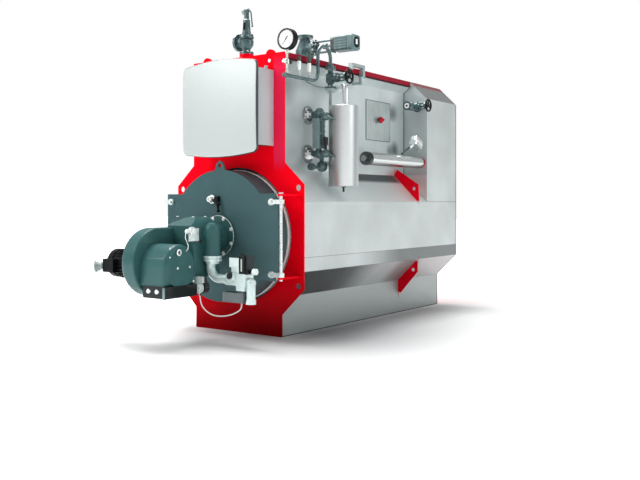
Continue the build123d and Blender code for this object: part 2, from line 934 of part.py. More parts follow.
with BuildPart() as gas_regulator:
    with Locations(
        ((regulator_x0 + regulator_x1) / 2, gas_y, (regulator_high + regulator_low) / 2)
    ):
        Box(regulator_x1 - regulator_x0, 90, regulator_high - regulator_low)
    fillet(gas_regulator.edges().filter_by(Axis.Z), 12)
    with Locations((block_x1 - 50, gas_y, (regulator_high + block_low - 31 - gap) / 2)):
        Box(44, 60, block_low - 31 - gap - regulator_high)
gas_regulator.part.label = "gas_regulator"
export_step(gas_regulator.part, "parts/gas_regulator.step")

# Servo behind the hood and its loop of cable to the regulator
servo_x = 180
servo_y = hood_y + hood_r + 6 + gap
servo_z = axis_z - 349
servo_exit_y = servo_y + 48

with BuildPart() as air_servo:
    add(
        turned(
            (servo_x, servo_y, servo_z),
            (0, 1, 0),
            [(0, 30), (18, 30), (18, 42), (40, 42), (40, 36), (50, 36), (50, 46), (98, 46), (104, 38)],
        )
    )
    with Locations((servo_x + 14, servo_y + 44, servo_z + 56)):
        Box(64, 52, 44)
    add(
        rod(
            (servo_x, servo_exit_y, servo_z - 30),
            (servo_x, servo_exit_y, servo_z - 60),
            9,
        )
    )
air_servo.part.label = "air_servo"
export_step(air_servo.part, "parts/air_servo.step")

cable_r = 4.5
cable_start = (servo_x, servo_exit_y, servo_z - 60 - touch)
cable_end = (478, gas_y, regulator_low - touch)


def cable_route(start, end, drops):
    """Hanging loop: start, end and (share of the way, height) between."""
    route = [start]
    for share, z in drops:
        x = start[0] + (end[0] - start[0]) * share
        y = start[1] + (end[1] - start[1]) * share
        route.append((x, y, z))
    route.append(end)
    return route


def corner_radii(points):
    """Bend radius at each inner point, tied to its shorter run."""
    radii = []
    for a, b, c in zip(points, points[1:], points[2:]):
        before = Vector(*b) - Vector(*a)
        after = Vector(*c) - Vector(*b)
        turn = math.radians(before.get_angle(after))
        radii.append(0.45 * min(before.length, after.length) / math.tan(turn / 2))
    return radii


servo_route = cable_route(
    cable_start,
    cable_end,
    [
        (0, servo_z - 111),
        (0.13, servo_z - 166),
        (0.32, servo_z - 197),
        (0.54, servo_z - 200),
        (0.76, servo_z - 186),
        (0.94, servo_z - 157),
        (1, servo_z - 131),
    ],
)
print("servo_cable", [round(r) for r in corner_radii(servo_route)])
servo_cable = pipe(servo_route, corner_radii(servo_route), cable_r)
servo_cable.label = "servo_cable"
export_step(servo_cable, "parts/servo_cable.step")

# Safety valve on its nozzle
safety_x = -110
safety_y = front_y + 250
safety_base = height + 72
outlet_z = safety_base + 104
outlet_reach = 93

with BuildPart() as safety_nozzle:
    add(
        turned(
            (safety_x, safety_y, height + gap),
            (0, 0, 1),
            [(0, 44), (20, 34), (48, 34), (48, 58), (72 - gap, 58)],
        )
    )
safety_nozzle.part.label = "safety_nozzle"
export_step(safety_nozzle.part, "parts/safety_nozzle.step")

with BuildPart() as safety_valve:
    add(
        turned(
            (safety_x, safety_y, safety_base),
            (0, 0, 1),
            [
                (0, 58),
                (18, 58),
                (18, 30),
                (40, 32),
                (56, 44),
                (76, 56),
                (110, 58),
                (128, 50),
                (128, 60),
                (146, 60),
                (146, 56),
                (162, 56),
                (162, 36),
                (182, 36),
                (190, 33),
                (274, 28),
                (280, 30),
                (290, 22),
                (336, 20),
                (352, 24),
                (368, 20),
                (378, 8),
            ],
        )
    )
    # open bonnet with its spindle
    with Locations((safety_x, safety_y, safety_base + 228)):
        Box(26, 100, 62, mode=Mode.SUBTRACT)
    add(
        rod(
            (safety_x, safety_y, safety_base + 190),
            (safety_x, safety_y, safety_base + 265),
            9,
        )
    )
    # side outlet with its flange
    add(rod((safety_x, safety_y, outlet_z), (safety_x - outlet_reach + 18, safety_y, outlet_z), 44))
    add(
        rod(
            (safety_x - outlet_reach + 20, safety_y, outlet_z),
            (safety_x - outlet_reach, safety_y, outlet_z),
            70,
        )
    )
    with Locations(Location((safety_x - outlet_reach, safety_y, outlet_z), (0, -90, 0))):
        with PolarLocations(50, 4, start_angle=45):
            Cylinder(9, 60, mode=Mode.SUBTRACT)
        Cylinder(19, 100, mode=Mode.SUBTRACT)
    # lifting lever with a ball end, hung from the cap
    lever = [
        (safety_x - 24, safety_y, safety_base + 352),
        (safety_x + 18, safety_y, safety_base + 374),
        (safety_x + 46, safety_y, safety_base + 340),
        (safety_x + 60, safety_y, safety_base + 226),
    ]
    for a, b in zip(lever, lever[1:]):
        add(rod(a, b, 6))
        with Locations(b):
            Sphere(6)
    with Locations(lever[-1]):
        Sphere(9)
    with Locations(Location((safety_x - 14, safety_y, safety_base + 350), (0, -14, 0))):
        Box(48, 34, 30)
safety_valve.part.label = "safety_valve"
export_step(safety_valve.part, "parts/safety_valve.step")

# Steam valve with its drive
steam_x = 150
steam_y = front_y + 706
steam_top = height + 266
yoke_z = height + 155
yoke_reach = 290

with BuildPart() as steam_valve:
    add(
        turned(
            (steam_x, steam_y, height + gap),
            (0, 0, 1),
            [
                (0, 70),
                (22, 70),
                (22, 52),
                (60, 66),
                (100, 80),
                (140, 78),
                (190, 58),
                (236, 42),
                (242, 46),
                (242, 70),
                (steam_top - height - gap, 70),
            ],
        )
    )
    with Locations((steam_x, steam_y, steam_top)):
        with PolarLocations(50, 4, start_angle=45):
            Cylinder(9, 60, mode=Mode.SUBTRACT)
        Cylinder(19, 120, mode=Mode.SUBTRACT)
    # bonnet, yoke bars one above the other, spindle and drive plate
    add(
        turned(
            (steam_x, steam_y, yoke_z),
            (1, 0, 0),
            [(0, 52), (96, 52), (96, 66), (112, 66), (112, 40), (128, 34)],
        )
    )
    for dz in (-46, 46):
        add(
            rod(
                (steam_x + 100, steam_y, yoke_z + dz),
                (steam_x + yoke_reach, steam_y, yoke_z + dz),
                10,
            )
        )
    add(rod((steam_x + 120, steam_y, yoke_z), (steam_x + yoke_reach, steam_y, yoke_z), 11))
    add(rod((steam_x + 190, steam_y, yoke_z), (steam_x + 226, steam_y, yoke_z), 22))
    with Locations((steam_x + yoke_reach - 6, steam_y, yoke_z)):
        Box(12, 70, 118)
steam_valve.part.label = "steam_valve"
export_step(steam_valve.part, "parts/steam_valve.step")

drive_x0 = steam_x + yoke_reach + gap
actuator_z = yoke_z + 1
with BuildPart() as actuator:
    with BuildSketch(side_plane(drive_x0)):
        with Locations((steam_y, actuator_z)):
            RectangleRounded(100, 100, 14)
    extrude(amount=32)
    with BuildSketch(side_plane(drive_x0 + 32)):
        with Locations((steam_y, actuator_z)):
            RectangleRounded(120, 120, 16)
    extrude(amount=138)
    with BuildSketch(side_plane(drive_x0 + 170)):
        with Locations((steam_y, actuator_z)):
            RectangleRounded(124, 125, 22)
    extrude(amount=50)
    fillet(actuator.faces().sort_by(Axis.X)[-1].edges(), 16)
actuator.part.label = "actuator"
export_step(actuator.part, "parts/actuator.step")

# Pressure line: manifold, swan neck, gauge cock and stubs
line_x = recess_x + 112
line_r = 14
manifold_z = height - 188
manifold_y0 = front_y - 61
riser_y = front_y + 372
drop_y = front_y + 549
swan_top = height + 100
gauge_z = height + 81
gauge_r = 80
gauge_depth = 52
valve_z = height - 142
valve_reach = 82

with BuildPart() as pressure_line:
    bend = (drop_y - riser_y) / 2
    add(
        pipe(
            [
                (line_x, manifold_y0, manifold_z),
                (line_x, riser_y, manifold_z),
                (line_x, riser_y, swan_top),
                (line_x, drop_y, swan_top),
                (line_x, drop_y, valve_z + valve_reach + 2),
            ],
            [75, bend - 0.5, bend - 0.5],
            line_r,
        )
    )
    add(rod((line_x, manifold_y0 - 10, manifold_z), (line_x, manifold_y0 + 12, manifold_z), 18))
    add(
        turned(
            (line_x, drop_y, valve_z + valve_reach + gap),
            (0, 0, 1),
            [(0, 40), (14, 40), (14, 24), (36, 24)],
        )
    )
pressure_line.part.label = "pressure_line"
export_step(pressure_line.part, "parts/pressure_line.step")

cock_y = front_y - 33
cock_z = height - 86
with BuildPart() as gauge_cock:
    add(
        turned(
            (line_x, cock_y, manifold_z + line_r + touch),
            (0, 0, 1),
            [
                (0, 13),
                (18, 13),
                (18, 8),
                (cock_z - manifold_z - line_r - 24, 8),
                (cock_z - manifold_z - line_r - 16, 17),
                (cock_z - manifold_z - line_r + 16, 17),
                (cock_z - manifold_z - line_r + 24, 9),
                (gauge_z - gauge_r - manifold_z - line_r - 30, 9),
                (gauge_z - gauge_r - manifold_z - line_r - 30, 14),
                (gauge_z - gauge_r - manifold_z - line_r - 2 * touch, 14),
            ],
        )
    )
    add(
        turned(
            (line_x, cock_y - 46, cock_z),
            (0, 1, 0),
            [(0, 10), (4, 15), (16, 15), (16, 7), (76, 7), (76, 14), (94, 14), (98, 9)],
        )
    )
gauge_cock.part.label = "gauge_cock"
export_step(gauge_cock.part, "parts/gauge_cock.step")

with BuildPart() as pressure_gauge:
    add(
        turned(
            (line_x, cock_y - 18, gauge_z),
            (0, 1, 0),
            [
                (5, gauge_r - 10),
                (5, gauge_r - 8),
                (0, gauge_r - 7),
                (0, gauge_r - 3),
                (3, gauge_r),
                (gauge_depth - 4, gauge_r),
                (gauge_depth, gauge_r - 6),
            ],
        )
    )
pressure_gauge.part.label = "pressure_gauge"
export_step(pressure_gauge.part, "parts/pressure_gauge.step")

# Two pressure sensors on the manifold: stem, connector body and head
for y, low, high, top, word in (
    (front_y + 120, 68, 116, 158, "front"),
    (front_y + 252, 60, 120, 215, "rear"),
):
    with BuildPart() as pressure_switch:
        add(
            turned(
                (line_x, y, manifold_z + line_r + touch),
                (0, 0, 1),
                [
                    (0, 9),
                    (10, 9),
                    (10, 6),
                    (low - 30, 6),
                    (low - 18, 13),
                    (low, 16),
                    (high - 8, 16),
                    (high, 10),
                    (high + 10, 10),
                    (high + 10, 17),
                    (top - line_r, 17),
                ],
            )
        )
    pressure_switch.part.label = f"pressure_switch_{word}"
    export_step(pressure_switch.part, f"parts/pressure_switch_{word}.step")

# Shut-off valve under the swan neck and its handwheel
wheel_r = 60
wheel_reach = 178
stem_r = 9
foot_reach = 83


def globe_valve(centre, along, reaches, flange, body, stem_end):
    """Small globe valve: turned body along a line and a bonnet with stem along X."""
    back, ahead = reaches
    start = Vector(*centre) - Vector(*along) * back
    span = back + ahead
    half = body + 2
    with BuildPart() as valve:
        add(
            turned(
                start,
                along,
                [
                    (0, flange),
                    (14, flange),
                    (14, 21),
                    (back - half - 8, 21),
                    (back - half + 10, body),
                    (back + half - 10, body),
                    (back + half + 8, 21),
                    (span - 14, 21),
                    (span - 14, flange),
                    (span, flange),
                ],
            )
        )
        add(
            turned(
                centre,
                (1, 0, 0),
                [
                    (0, 32),
                    (52, 32),
                    (52, 38),
                    (70, 38),
                    (70, 24),
                    (86, 20),
                    (86, stem_r),
                    (stem_end, stem_r),
                ],
            )
        )
        for dz in (-27, 27):
            at = Vector(*centre) + Vector(66, 0, dz)
            add(rod(at, at + Vector(76, 0, 0), 7))
        yoke = Vector(*centre) + Vector(138, 0, 0)
        add(rod(yoke, yoke + Vector(14, 0, 0), 35))
    return valve.part


shutoff_valve = globe_valve(
    (line_x, drop_y, valve_z),
    (0, 0, 1),
    (foot_reach, valve_reach),
    43,
    38,
    wheel_reach + 13,
)
shutoff_valve.label = "shutoff_valve"
export_step(shutoff_valve, "parts/shutoff_valve.step")


def handwheel(centre, r):
    """Spoked wheel on a stem along X, with a plain bore in the hub."""
    x, y, z = centre
    with BuildPart() as wheel:
        with BuildSketch(Plane(origin=(x, y, z), x_dir=(1, 0, 0), z_dir=(0, -1, 0))):
            with Locations((0, r - 8)):
                Circle(8)
        revolve(axis=Axis((x, y, z), (1, 0, 0)))
        with BuildSketch(side_plane(x - 4)):
            with Locations((y, z)):
                with PolarLocations(0, 3, start_angle=90):
                    with Locations((r / 2, 0)):
                        Rectangle(r - 10, 12)
        extrude(amount=8)
        with BuildSketch(side_plane(x - 10)):
            with Locations((y, z)):
                Circle(16)
        extrude(amount=20)
        with BuildSketch(side_plane(x - 12)):
            with Locations((y, z)):
                Circle(stem_r + running_gap)
        extrude(amount=24, mode=Mode.SUBTRACT)
    return wheel.part


shutoff_handwheel = handwheel((line_x + wheel_reach, drop_y, valve_z), wheel_r)
shutoff_handwheel.label = "shutoff_handwheel"
export_step(shutoff_handwheel, "parts/shutoff_handwheel.step")

# Level gauge: column with sight slots between two cocks
glass_x = recess_x + 105
glass_y = front_y + 392
glass_low = manifold_z - 524
glass_high = manifold_z - 289
cock_high = glass_high + 33
cock_low = glass_low - 40

with BuildPart() as level_gauge:
    with BuildSketch(Plane.XY.offset(glass_low)):
        with Locations((glass_x, glass_y)):
            RectangleRounded(58, 96, 8)
    extrude(amount=glass_high - glass_low)
    # sight slot on the near side
    with Locations((glass_x + 29, glass_y - 8, (glass_low + glass_high) / 2)):
        Box(12, 16, glass_high - glass_low - 40, mode=Mode.SUBTRACT)
    # clamping bolts down both edges
    for side in (-1, 1):
        with Locations((glass_x, glass_y + side * 48, (glass_low + glass_high) / 2)):
            with GridLocations(34, 1, 2, 1):
                for k in range(5):
                    with Locations((0, 0, (k - 2) * (glass_high - glass_low) / 5.4)):
                        Cylinder(6, 8, rotation=(90, 0, 0))
level_gauge.part.label = "level_gauge"
export_step(level_gauge.part, "parts/level_gauge.step")


plug_x = glass_x + 70
plug_y = glass_y - 4


def level_cock(z, glass_end, rise, drop):
    """Cock between the casing and the gauge: wall flange, cap, two plug bodies, lever."""
    first = (glass_x, glass_y + 12, z + rise)
    second = (plug_x, plug_y, z + drop)
    with BuildPart() as cock:
        with Locations(first):
            Sphere(37)
        with Locations(second):
            Sphere(34)
        add(rod(first, second, 25))
        add(rod((glass_x, glass_y, z + rise), (glass_x, glass_y, glass_end), 21))
        add(
            turned(
                (recess_x + gap, glass_y, z),
                (1, 0, 0),
                [(0, 74), (8, 74), (8, 62), (20, 62), (20, 28), (92, 28)],
            )
        )
        # round cap towards the burner side
        add(
            turned(
                (recess_x + 44, glass_y, z),
                (0, -1, 0),
                [(0, 24), (38, 24), (38, 33), (56, 33), (60, 26)],
            )
        )
        # short lever on the second plug
        add(
            turned(
                (plug_x + 20, plug_y, z + drop - 6),
                (1, 0, -0.35),
                [(0, 16), (22, 13), (32, 7), (70, 6)],
            )
        )
    return cock.part


drain_z = cock_low - 98
with BuildPart() as level_cock_upper:
    add(level_cock(cock_high, glass_high + gap, 18, -18))
    # branch with the socket for the pipe from above
    add(rod((glass_x, glass_y, cock_high), (line_x, drop_y, cock_high), 16))
    add(rod((line_x, drop_y, cock_high - 24), (line_x, drop_y, cock_high + 24), 22))
level_cock_upper.part.label = "level_cock_upper"
export_step(level_cock_upper.part, "parts/level_cock_upper.step")

with BuildPart() as level_cock_lower:
    add(level_cock(cock_low, glass_low - gap, -2, 0))
    # upright grip on the second plug
    add(
        turned(
            (plug_x, plug_y, cock_low + 26),
            (0, 0, 1),
            [(0, 10), (34, 10), (38, 19), (98, 19), (102, 13)],
        )
    )
    # drain below the gauge with its cap and plug body
    add(rod((glass_x, glass_y + 44, drain_z), (glass_x, glass_y + 44, cock_low), 17))
    add(rod((glass_x, glass_y - 92, drain_z - 8), (glass_x, glass_y + 44, drain_z - 8), 15))
    add(rod((glass_x, glass_y - 112, drain_z - 8), (glass_x, glass_y - 84, drain_z - 8), 29))
    with Locations((glass_x, glass_y + 50, drain_z)):
        Sphere(44)
level_cock_lower.part.label = "level_cock_lower"
export_step(level_cock_lower.part, "parts/level_cock_lower.step")

with BuildPart() as level_pipe:
    pipe_top = valve_z - foot_reach - gap
    add(rod((line_x, drop_y, pipe_top - 14), (line_x, drop_y, pipe_top), 43))
    add(rod((line_x, drop_y, cock_high + 24 + gap), (line_x, drop_y, pipe_top - 10), 12.5))
level_pipe.part.label = "level_pipe"
export_step(level_pipe.part, "parts/level_pipe.step")

# Electrode vessel beside the gauge, with its lines to the wall
vessel_x = recess_x + 255
vessel_y = front_y + 520
vessel_r = 118
vessel_low = manifold_z - 822
vessel_high = manifold_z - 188
vent_x = vessel_x - 12
vent_y = vessel_y + 46
vent_z = manifold_z - 22
wall_y = vessel_y + 170

with BuildPart() as electrode_vessel:
    add(
        turned(
            (vessel_x, vessel_y, vessel_low),
            (0, 0, 1),
            [
                (-42, 8),
                (-6, 8),
                (-6, 20),
                (0, 20),
                (0, vessel_r - 4),
                (4, vessel_r),
                (vessel_high - vessel_low - 4, vessel_r),
                (vessel_high - vessel_low, vessel_r - 4),
            ],
        )
    )
    add(
        pipe(
            [
                (vent_x, vent_y, vessel_high - 5),
                (vent_x, vent_y, vent_z),
                (recess_x + 70, wall_y, vent_z),
                (recess_x + gap, wall_y, vent_z),
            ],
            [44, 60],
            26,
        )
    )
    add(
        rod(
            (vessel_x, vessel_y + 90, vessel_low + 191),
            (recess_x + gap, vessel_y + 90, vessel_low + 191),
            22,
        )
    )
electrode_vessel.part.label = "electrode_vessel"
export_step(electrode_vessel.part, "parts/electrode_vessel.step")

# Instrument bracket: portal beside the roof rail with a tube foot on the wall
portal_y0 = front_y + 895
portal_y1 = front_y + 1095
portal_x = roof_x + gap + 20
portal_top = height + 32
portal_bar = 26
portal_low = height - 74

with BuildPart() as instrument_bracket:
    with BuildSketch(side_plane(portal_x - 20)):
        with BuildLine():
            Polyline(
                [
                    (portal_y0, portal_top),
                    (portal_y1, portal_top),
                    (portal_y1, portal_low),
                    (portal_y1 - 34, portal_low),
                    (portal_y1 - 34, portal_top - portal_bar),
                    (portal_y0 + 16, portal_top - portal_bar),
                    (portal_y0 + 16, portal_top - portal_bar - 30),
                    (portal_y0, portal_top - portal_bar - 30),
                ],
                close=True,
            )
        make_face()
    extrude(amount=40)
    # upright tube and its wall arm
    add(
        rod(
            (portal_x, portal_y1 - 34, portal_low - 60),
            (portal_x, portal_y1 - 34, portal_low + 6),
            19,
        )
    )
    with Locations(
        ((recess_x + gap + portal_x) / 2, portal_y1 - 34, portal_low - 46)
    ):
        Box(portal_x - recess_x - gap, 26, 22)
instrument_bracket.part.label = "instrument_bracket"
export_step(instrument_bracket.part, "parts/instrument_bracket.step")

# Access panel with knob
panel_y = front_y + 1488
panel_z = manifold_z - 217

with BuildPart() as access_panel:
    with Locations((recess_x + gap + 2, panel_y, panel_z)):
        Box(4, 424, 357)
    add(
        turned(
            (recess_x + gap + 3, panel_y - 10, panel_z + 9),
            (1, 0, 0),
            [(0, 12), (16, 12), (18, 26), (34, 30), (48, 22), (52, 10), (66, 10)],
        )
    )
access_panel.part.label = "access_panel"
export_step(access_panel.part, "parts/access_panel.step")

# Insulated line along the recess and its collar at the end wall
stub_x = recess_x + 172
stub_z = manifold_z - 576
stub_y0 = front_y + 985
jacket_r = 55
jacket_y1 = recess_end_y - 40

with BuildPart() as insulated_line:
    add(
        turned(
            (stub_x, stub_y0, stub_z),
            (0, 1, 0),
            [
                (-30, 26),
                (-16, 26),
                (-16, 12),
                (2, 12),
                (2, 57),
                (34, 57),
                (34, 38),
                (48, 38),
                (48, jacket_r),
                (jacket_y1 - stub_y0, jacket_r),
                (jacket_y1 - stub_y0, 50),
                (recess_end_y - stub_y0 - gap, 50),
            ],
        )
    )
insulated_line.part.label = "insulated_line"
export_step(insulated_line.part, "parts/insulated_line.step")

# Level probe: slanted stem from the line to a tilted terminal head
probe_y = recess_end_y - 353
head_x = stub_x + 40
head_y = recess_end_y - 158
head_z = stub_z + 170
stem_half = 11
probe_foot = (stub_x, probe_y, stub_z + jacket_r + 0.88 * stem_half + touch)
head_plane = Plane(origin=(head_x, head_y, head_z), x_dir=(1, 0, 0), z_dir=(0, 0.42, 0.91))

with BuildPart() as level_probe:
    with BuildSketch(head_plane.offset(-40)):
        RectangleRounded(78, 138, 22)
    extrude(amount=40)
    with BuildSketch(head_plane):
        RectangleRounded(86, 150, 24)
    extrude(amount=42, taper=14)
    add(rod(probe_foot, (head_x - 10, head_y - 40, head_z - 16), stem_half))
level_probe.part.label = "level_probe"
export_step(level_probe.part, "parts/level_probe.step")

# Feed valve on the end wall of the recess
feed_x = recess_x + 145
feed_y = recess_end_y - 120
feed_z = manifold_z - 62
feed_reach = 92
feed_wheel_reach = 170

feed_body = globe_valve(
    (feed_x, feed_y, feed_z),
    (0, 1, 0),
    (feed_reach, recess_end_y - feed_y - gap),
    41,
    38,
    feed_wheel_reach + 13,
)
with BuildPart() as feed_valve:
    add(feed_body)
    with Locations(Location((feed_x, feed_y - feed_reach, feed_z), (90, 0, 0))):
        with PolarLocations(27.5, 4, start_angle=45):
            Cylinder(5.5, 60, mode=Mode.SUBTRACT)
        Cylinder(10, 60, mode=Mode.SUBTRACT)
feed_valve.part.label = "feed_valve"
export_step(feed_valve.part, "parts/feed_valve.step")

feed_handwheel = handwheel((feed_x + feed_wheel_reach, feed_y, feed_z), wheel_r)
feed_handwheel.label = "feed_handwheel"
export_step(feed_handwheel, "parts/feed_handwheel.step")
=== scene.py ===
import bpy
import bmesh
import math
from mathutils import Matrix, Vector


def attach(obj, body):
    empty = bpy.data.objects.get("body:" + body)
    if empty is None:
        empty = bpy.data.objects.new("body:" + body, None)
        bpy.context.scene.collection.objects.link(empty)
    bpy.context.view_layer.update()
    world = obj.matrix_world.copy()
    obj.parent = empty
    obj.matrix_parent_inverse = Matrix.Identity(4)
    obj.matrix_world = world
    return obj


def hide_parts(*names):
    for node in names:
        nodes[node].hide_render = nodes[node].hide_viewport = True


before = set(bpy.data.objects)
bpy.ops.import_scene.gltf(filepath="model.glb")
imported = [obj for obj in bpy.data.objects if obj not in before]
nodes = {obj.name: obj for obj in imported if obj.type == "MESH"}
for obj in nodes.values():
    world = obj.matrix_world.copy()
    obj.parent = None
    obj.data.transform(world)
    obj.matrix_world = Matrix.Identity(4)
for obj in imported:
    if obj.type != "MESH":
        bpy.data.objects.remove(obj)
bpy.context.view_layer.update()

# Places in metres: front of the front frame, face and axis of the burner flange
front = -1.296
flange_y = front - 0.226
axis_z = 0.760

# The recess wall and where it ends, the vessel's axis, the two cocks of the level gauge
wall_x, recess_rear = 0.400, 0.674
vessel_x, vessel_y = 0.655, -0.776
cock_y = -0.904
cock_heights = (1.706, 1.398)
rosette_x, cap_x = 0.4205, 0.444

# Heights of the casing above the floor
foot_top, slope_top, seam_z = 0.299, 0.501, 0.605
ledge_low, ledge_top = 1.023, 1.270

# Directions: towards the fittings side, towards the burner side, up
east, out_y, up = (1, 0, 0), (0, -1, 0), (0, 0, 1)


def placed(name, data):
    """A new object in the scene."""
    obj = bpy.data.objects.new(name, data)
    bpy.context.collection.objects.link(obj)
    return obj


# Camera at the photograph's angle
def look():
    cam = bpy.data.cameras.new("camera")
    cam.sensor_width = 36
    cam.lens = 46.39
    cam.shift_x = 0.0649
    cam.shift_y = -0.0584
    cam.clip_end = 60
    obj = placed("camera", cam)
    obj.location = (4.17585, -4.95601 + front, 1.01383)
    obj.rotation_euler = (math.radians(90), 0, math.radians(37.25))
    bpy.context.scene.camera = obj


look()
bpy.context.scene.view_settings.view_transform = "Standard"


def fill_ramp(ramp, stops, tint=(1, 1, 1)):
    """Set a colour ramp from (place, grey) pairs."""
    for index, (at, grey) in enumerate(stops):
        stop = ramp.elements[index] if index < 2 else ramp.elements.new(at)
        stop.position = at
        stop.color = (grey * tint[0], grey * tint[1], grey * tint[2], 1)


# Finishes
class Finish:
    """One material; each call adds the nodes for one thing a maker would name."""

    def __init__(self, name, metal=0.0, coat=0.0, coat_rough=0.06, specular=0.5, sheen=0.0):
        self.mat = bpy.data.materials.new(name)
        self.mat.use_nodes = True
        self.tree = self.mat.node_tree
        self.shader = self.tree.nodes["Principled BSDF"]
        for label, value in (
            ("Metallic", metal), ("Coat Weight", coat), ("Coat Roughness", coat_rough),
            ("Specular IOR Level", specular), ("Sheen Weight", sheen),
        ):
            self.shader.inputs[label].default_value = value
        self.place = self.node("ShaderNodeTexCoord").outputs["Object"]
        self.split = None
        self.shown = None

    def node(self, kind, **settings):
        made = self.tree.nodes.new(kind)
        for key, value in settings.items():
            setattr(made, key, value)
        return made

    def feed(self, socket, value):
        if isinstance(value, bpy.types.NodeSocket):
            self.tree.links.new(value, socket)
        else:
            socket.default_value = value

    def math(self, how, a, b=0.0):
        made = self.node("ShaderNodeMath", operation=how)
        self.feed(made.inputs[0], a)
        self.feed(made.inputs[1], b)
        return made.outputs[0]

    def times(self, a, b):
        return self.math("MULTIPLY", a, b)

    def both(self, a, b):
        """Where two shares overlap."""
        return self.times(a, b)

    def along(self, letter):
        """Place of a point along one axis of the part."""
        if self.split is None:
            self.split = self.node("ShaderNodeSeparateXYZ")
            self.feed(self.split.inputs[0], self.place)
        return self.split.outputs[letter]

    def facing(self, letter):
        """How far the surface turns towards one axis, -1 to 1."""
        geometry = self.node("ShaderNodeNewGeometry")
        turn = self.node("ShaderNodeSeparateXYZ")
        self.feed(turn.inputs[0], geometry.outputs["Normal"])
        return turn.outputs[letter]

    def squarely(self, letter):
        """How squarely the surface looks along one axis, either way, 0 to 1."""
        return self.math("ABSOLUTE", self.facing(letter))

    def spread(self, value, low, high, start=0.0, end=1.0):
        """Low where the value is at the start, high where it is at the end."""
        made = self.node("ShaderNodeMapRange")
        for slot, part in enumerate((value, start, end, low, high)):
            self.feed(made.inputs[slot], part)
        return made.outputs[0]

    def grain(self, scale, detail=4.0, stretch=(1, 1, 1)):
        """Fine noise; a stretch above 1 packs it closer along that axis."""
        mapping = self.node("ShaderNodeMapping")
        self.feed(mapping.inputs["Vector"], self.place)
        mapping.inputs["Scale"].default_value = stretch
        noise = self.node("ShaderNodeTexNoise")
        noise.inputs["Scale"].default_value = scale
        noise.inputs["Detail"].default_value = detail
        self.feed(noise.inputs["Vector"], mapping.outputs[0])
        return noise.outputs[0]

    def waves(self, scale, tilt):
        """Even waves, tilted by some degrees round X."""
        mapping = self.node("ShaderNodeMapping")
        self.feed(mapping.inputs["Vector"], self.place)
        mapping.inputs["Rotation"].default_value = (math.radians(tilt), 0, 0)
        wave = self.node("ShaderNodeTexWave", wave_type="BANDS", bands_direction="Y")
        wave.wave_profile = "SIN"
        wave.inputs["Scale"].default_value = scale
        self.feed(wave.inputs["Vector"], mapping.outputs[0])
        return wave.outputs["Fac"]

    def within(self, letter, low, high, soft=0.001):
        """1 between two places along an axis, 0 outside."""
        value = self.along(letter)
        rise = self.spread(value, 0.0, 1.0, low - soft, low + soft)
        fall = self.spread(value, 1.0, 0.0, high - soft, high + soft)
        return self.both(rise, fall)

    def near(self, centre, radius, soft=0.0015):
        """1 inside a ball round a point, 0 outside."""
        away = self.node("ShaderNodeVectorMath", operation="DISTANCE")
        self.feed(away.inputs[0], self.place)
        away.inputs[1].default_value = centre
        return self.spread(away.outputs["Value"], 1.0, 0.0, radius - soft, radius + soft)

    def mix(self, share, a, b):
        made = self.node("ShaderNodeMix", data_type="RGBA")
        self.feed(made.inputs[0], share)
        for socket, value in ((made.inputs[6], a), (made.inputs[7], b)):
            plain = not isinstance(value, bpy.types.NodeSocket)
            self.feed(socket, (*value, 1) if plain else value)
        return made.outputs[2]

    def base(self, color, vary=0.06, scale=9.0, stretch=(1, 1, 1)):
        """Start with a colour that drifts a little over the surface."""
        dark = [c * (1 - vary) for c in color]
        light = [min(c * (1 + vary), 1.0) for c in color]
        share = self.spread(self.grain(scale, 5.0, stretch), 0.0, 1.0, 0.32, 0.68)
        self.shown = self.mix(share, dark, light)

    def lay(self, share, color, much=1.0):
        """Lay another colour over it where the share is 1, wholly or in part."""
        if much < 1.0:
            share = self.times(share, much)
        self.shown = self.mix(share, self.shown, color)

    def band(self, letter, low, high, color, soft=0.001):
        """Lay another colour over it between two places along an axis."""
        self.lay(self.within(letter, low, high, soft), color)

    def rough(self, low, high, scale=30.0, stretch=(1, 1, 1)):
        value = self.spread(self.grain(scale, 5.0, stretch), low, high, 0.3, 0.7)
        self.feed(self.shader.inputs["Roughness"], value)

    def relief(self, height, depth, strength):
        bump = self.node("ShaderNodeBump")
        bump.inputs["Strength"].default_value = strength
        bump.inputs["Distance"].default_value = depth
        self.feed(bump.inputs["Height"], height)
        self.feed(self.shader.inputs["Normal"], bump.outputs[0])

    def done(self, rough, height=None, depth=0.0, strength=0.0):
        """Give the shader its colour, roughness and relief."""
        self.feed(self.shader.inputs["Base Color"], self.shown)
        self.rough(*rough)
        if height is not None:
            self.relief(height, depth, strength)
        return self.mat


def plain_finish(name, color, low, high, scale=60.0, depth=0.0008, vary=0.08, **surface):
    """Paint, plastic or iron in one colour."""
    f = Finish(name, **surface)
    f.base(color, vary, scale)
    return f.done((low, high, scale), f.grain(scale * 6, 4.0), depth, 0.45)


def bright_finish(name, color, low, high, metal):
    """Bright bare metal, nearly smooth."""
    f = Finish(name, metal=metal)
    f.base(color, 0.05, 16.0)
    return f.done((low, high, 24.0), f.grain(120.0, 2.0), 0.0001, 0.1)


def front_paint():
    """Red of the front frame: a painted band of light beside the cabinet, painted shade darker
    towards the floor.
    """
    f = Finish("frame_paint", specular=0.02)
    f.base((1.0, 0.0, 0.010), 0.04)
    # painted light: a pale band where the cabinet's shiny side throws light onto the frame
    painted_light_strip = f.both(f.within("X", 0.361, 0.4632), f.within("Z", 1.30, 2.09, 0.05))
    f.lay(painted_light_strip, (0.80, 0.022, 0.085), 0.8)
    # painted shade: the frame darkens towards the floor under the burner
    f.lay(f.spread(f.along("Z"), 0.86, 0.0, 0.06, 0.66), (0.13, 0.0, 0.001))
    return f.done((0.34, 0.46), f.grain(380.0, 3.0), 0.0006, 0.35)


def middle_paint():
    """Red of the middle frame, with a slight orange peel."""
    f = Finish("red_paint", specular=0.06)
    f.base((0.78, 0.0, 0.012), 0.05)
    return f.done((0.28, 0.40), f.grain(420.0, 3.0), 0.0006, 0.35)


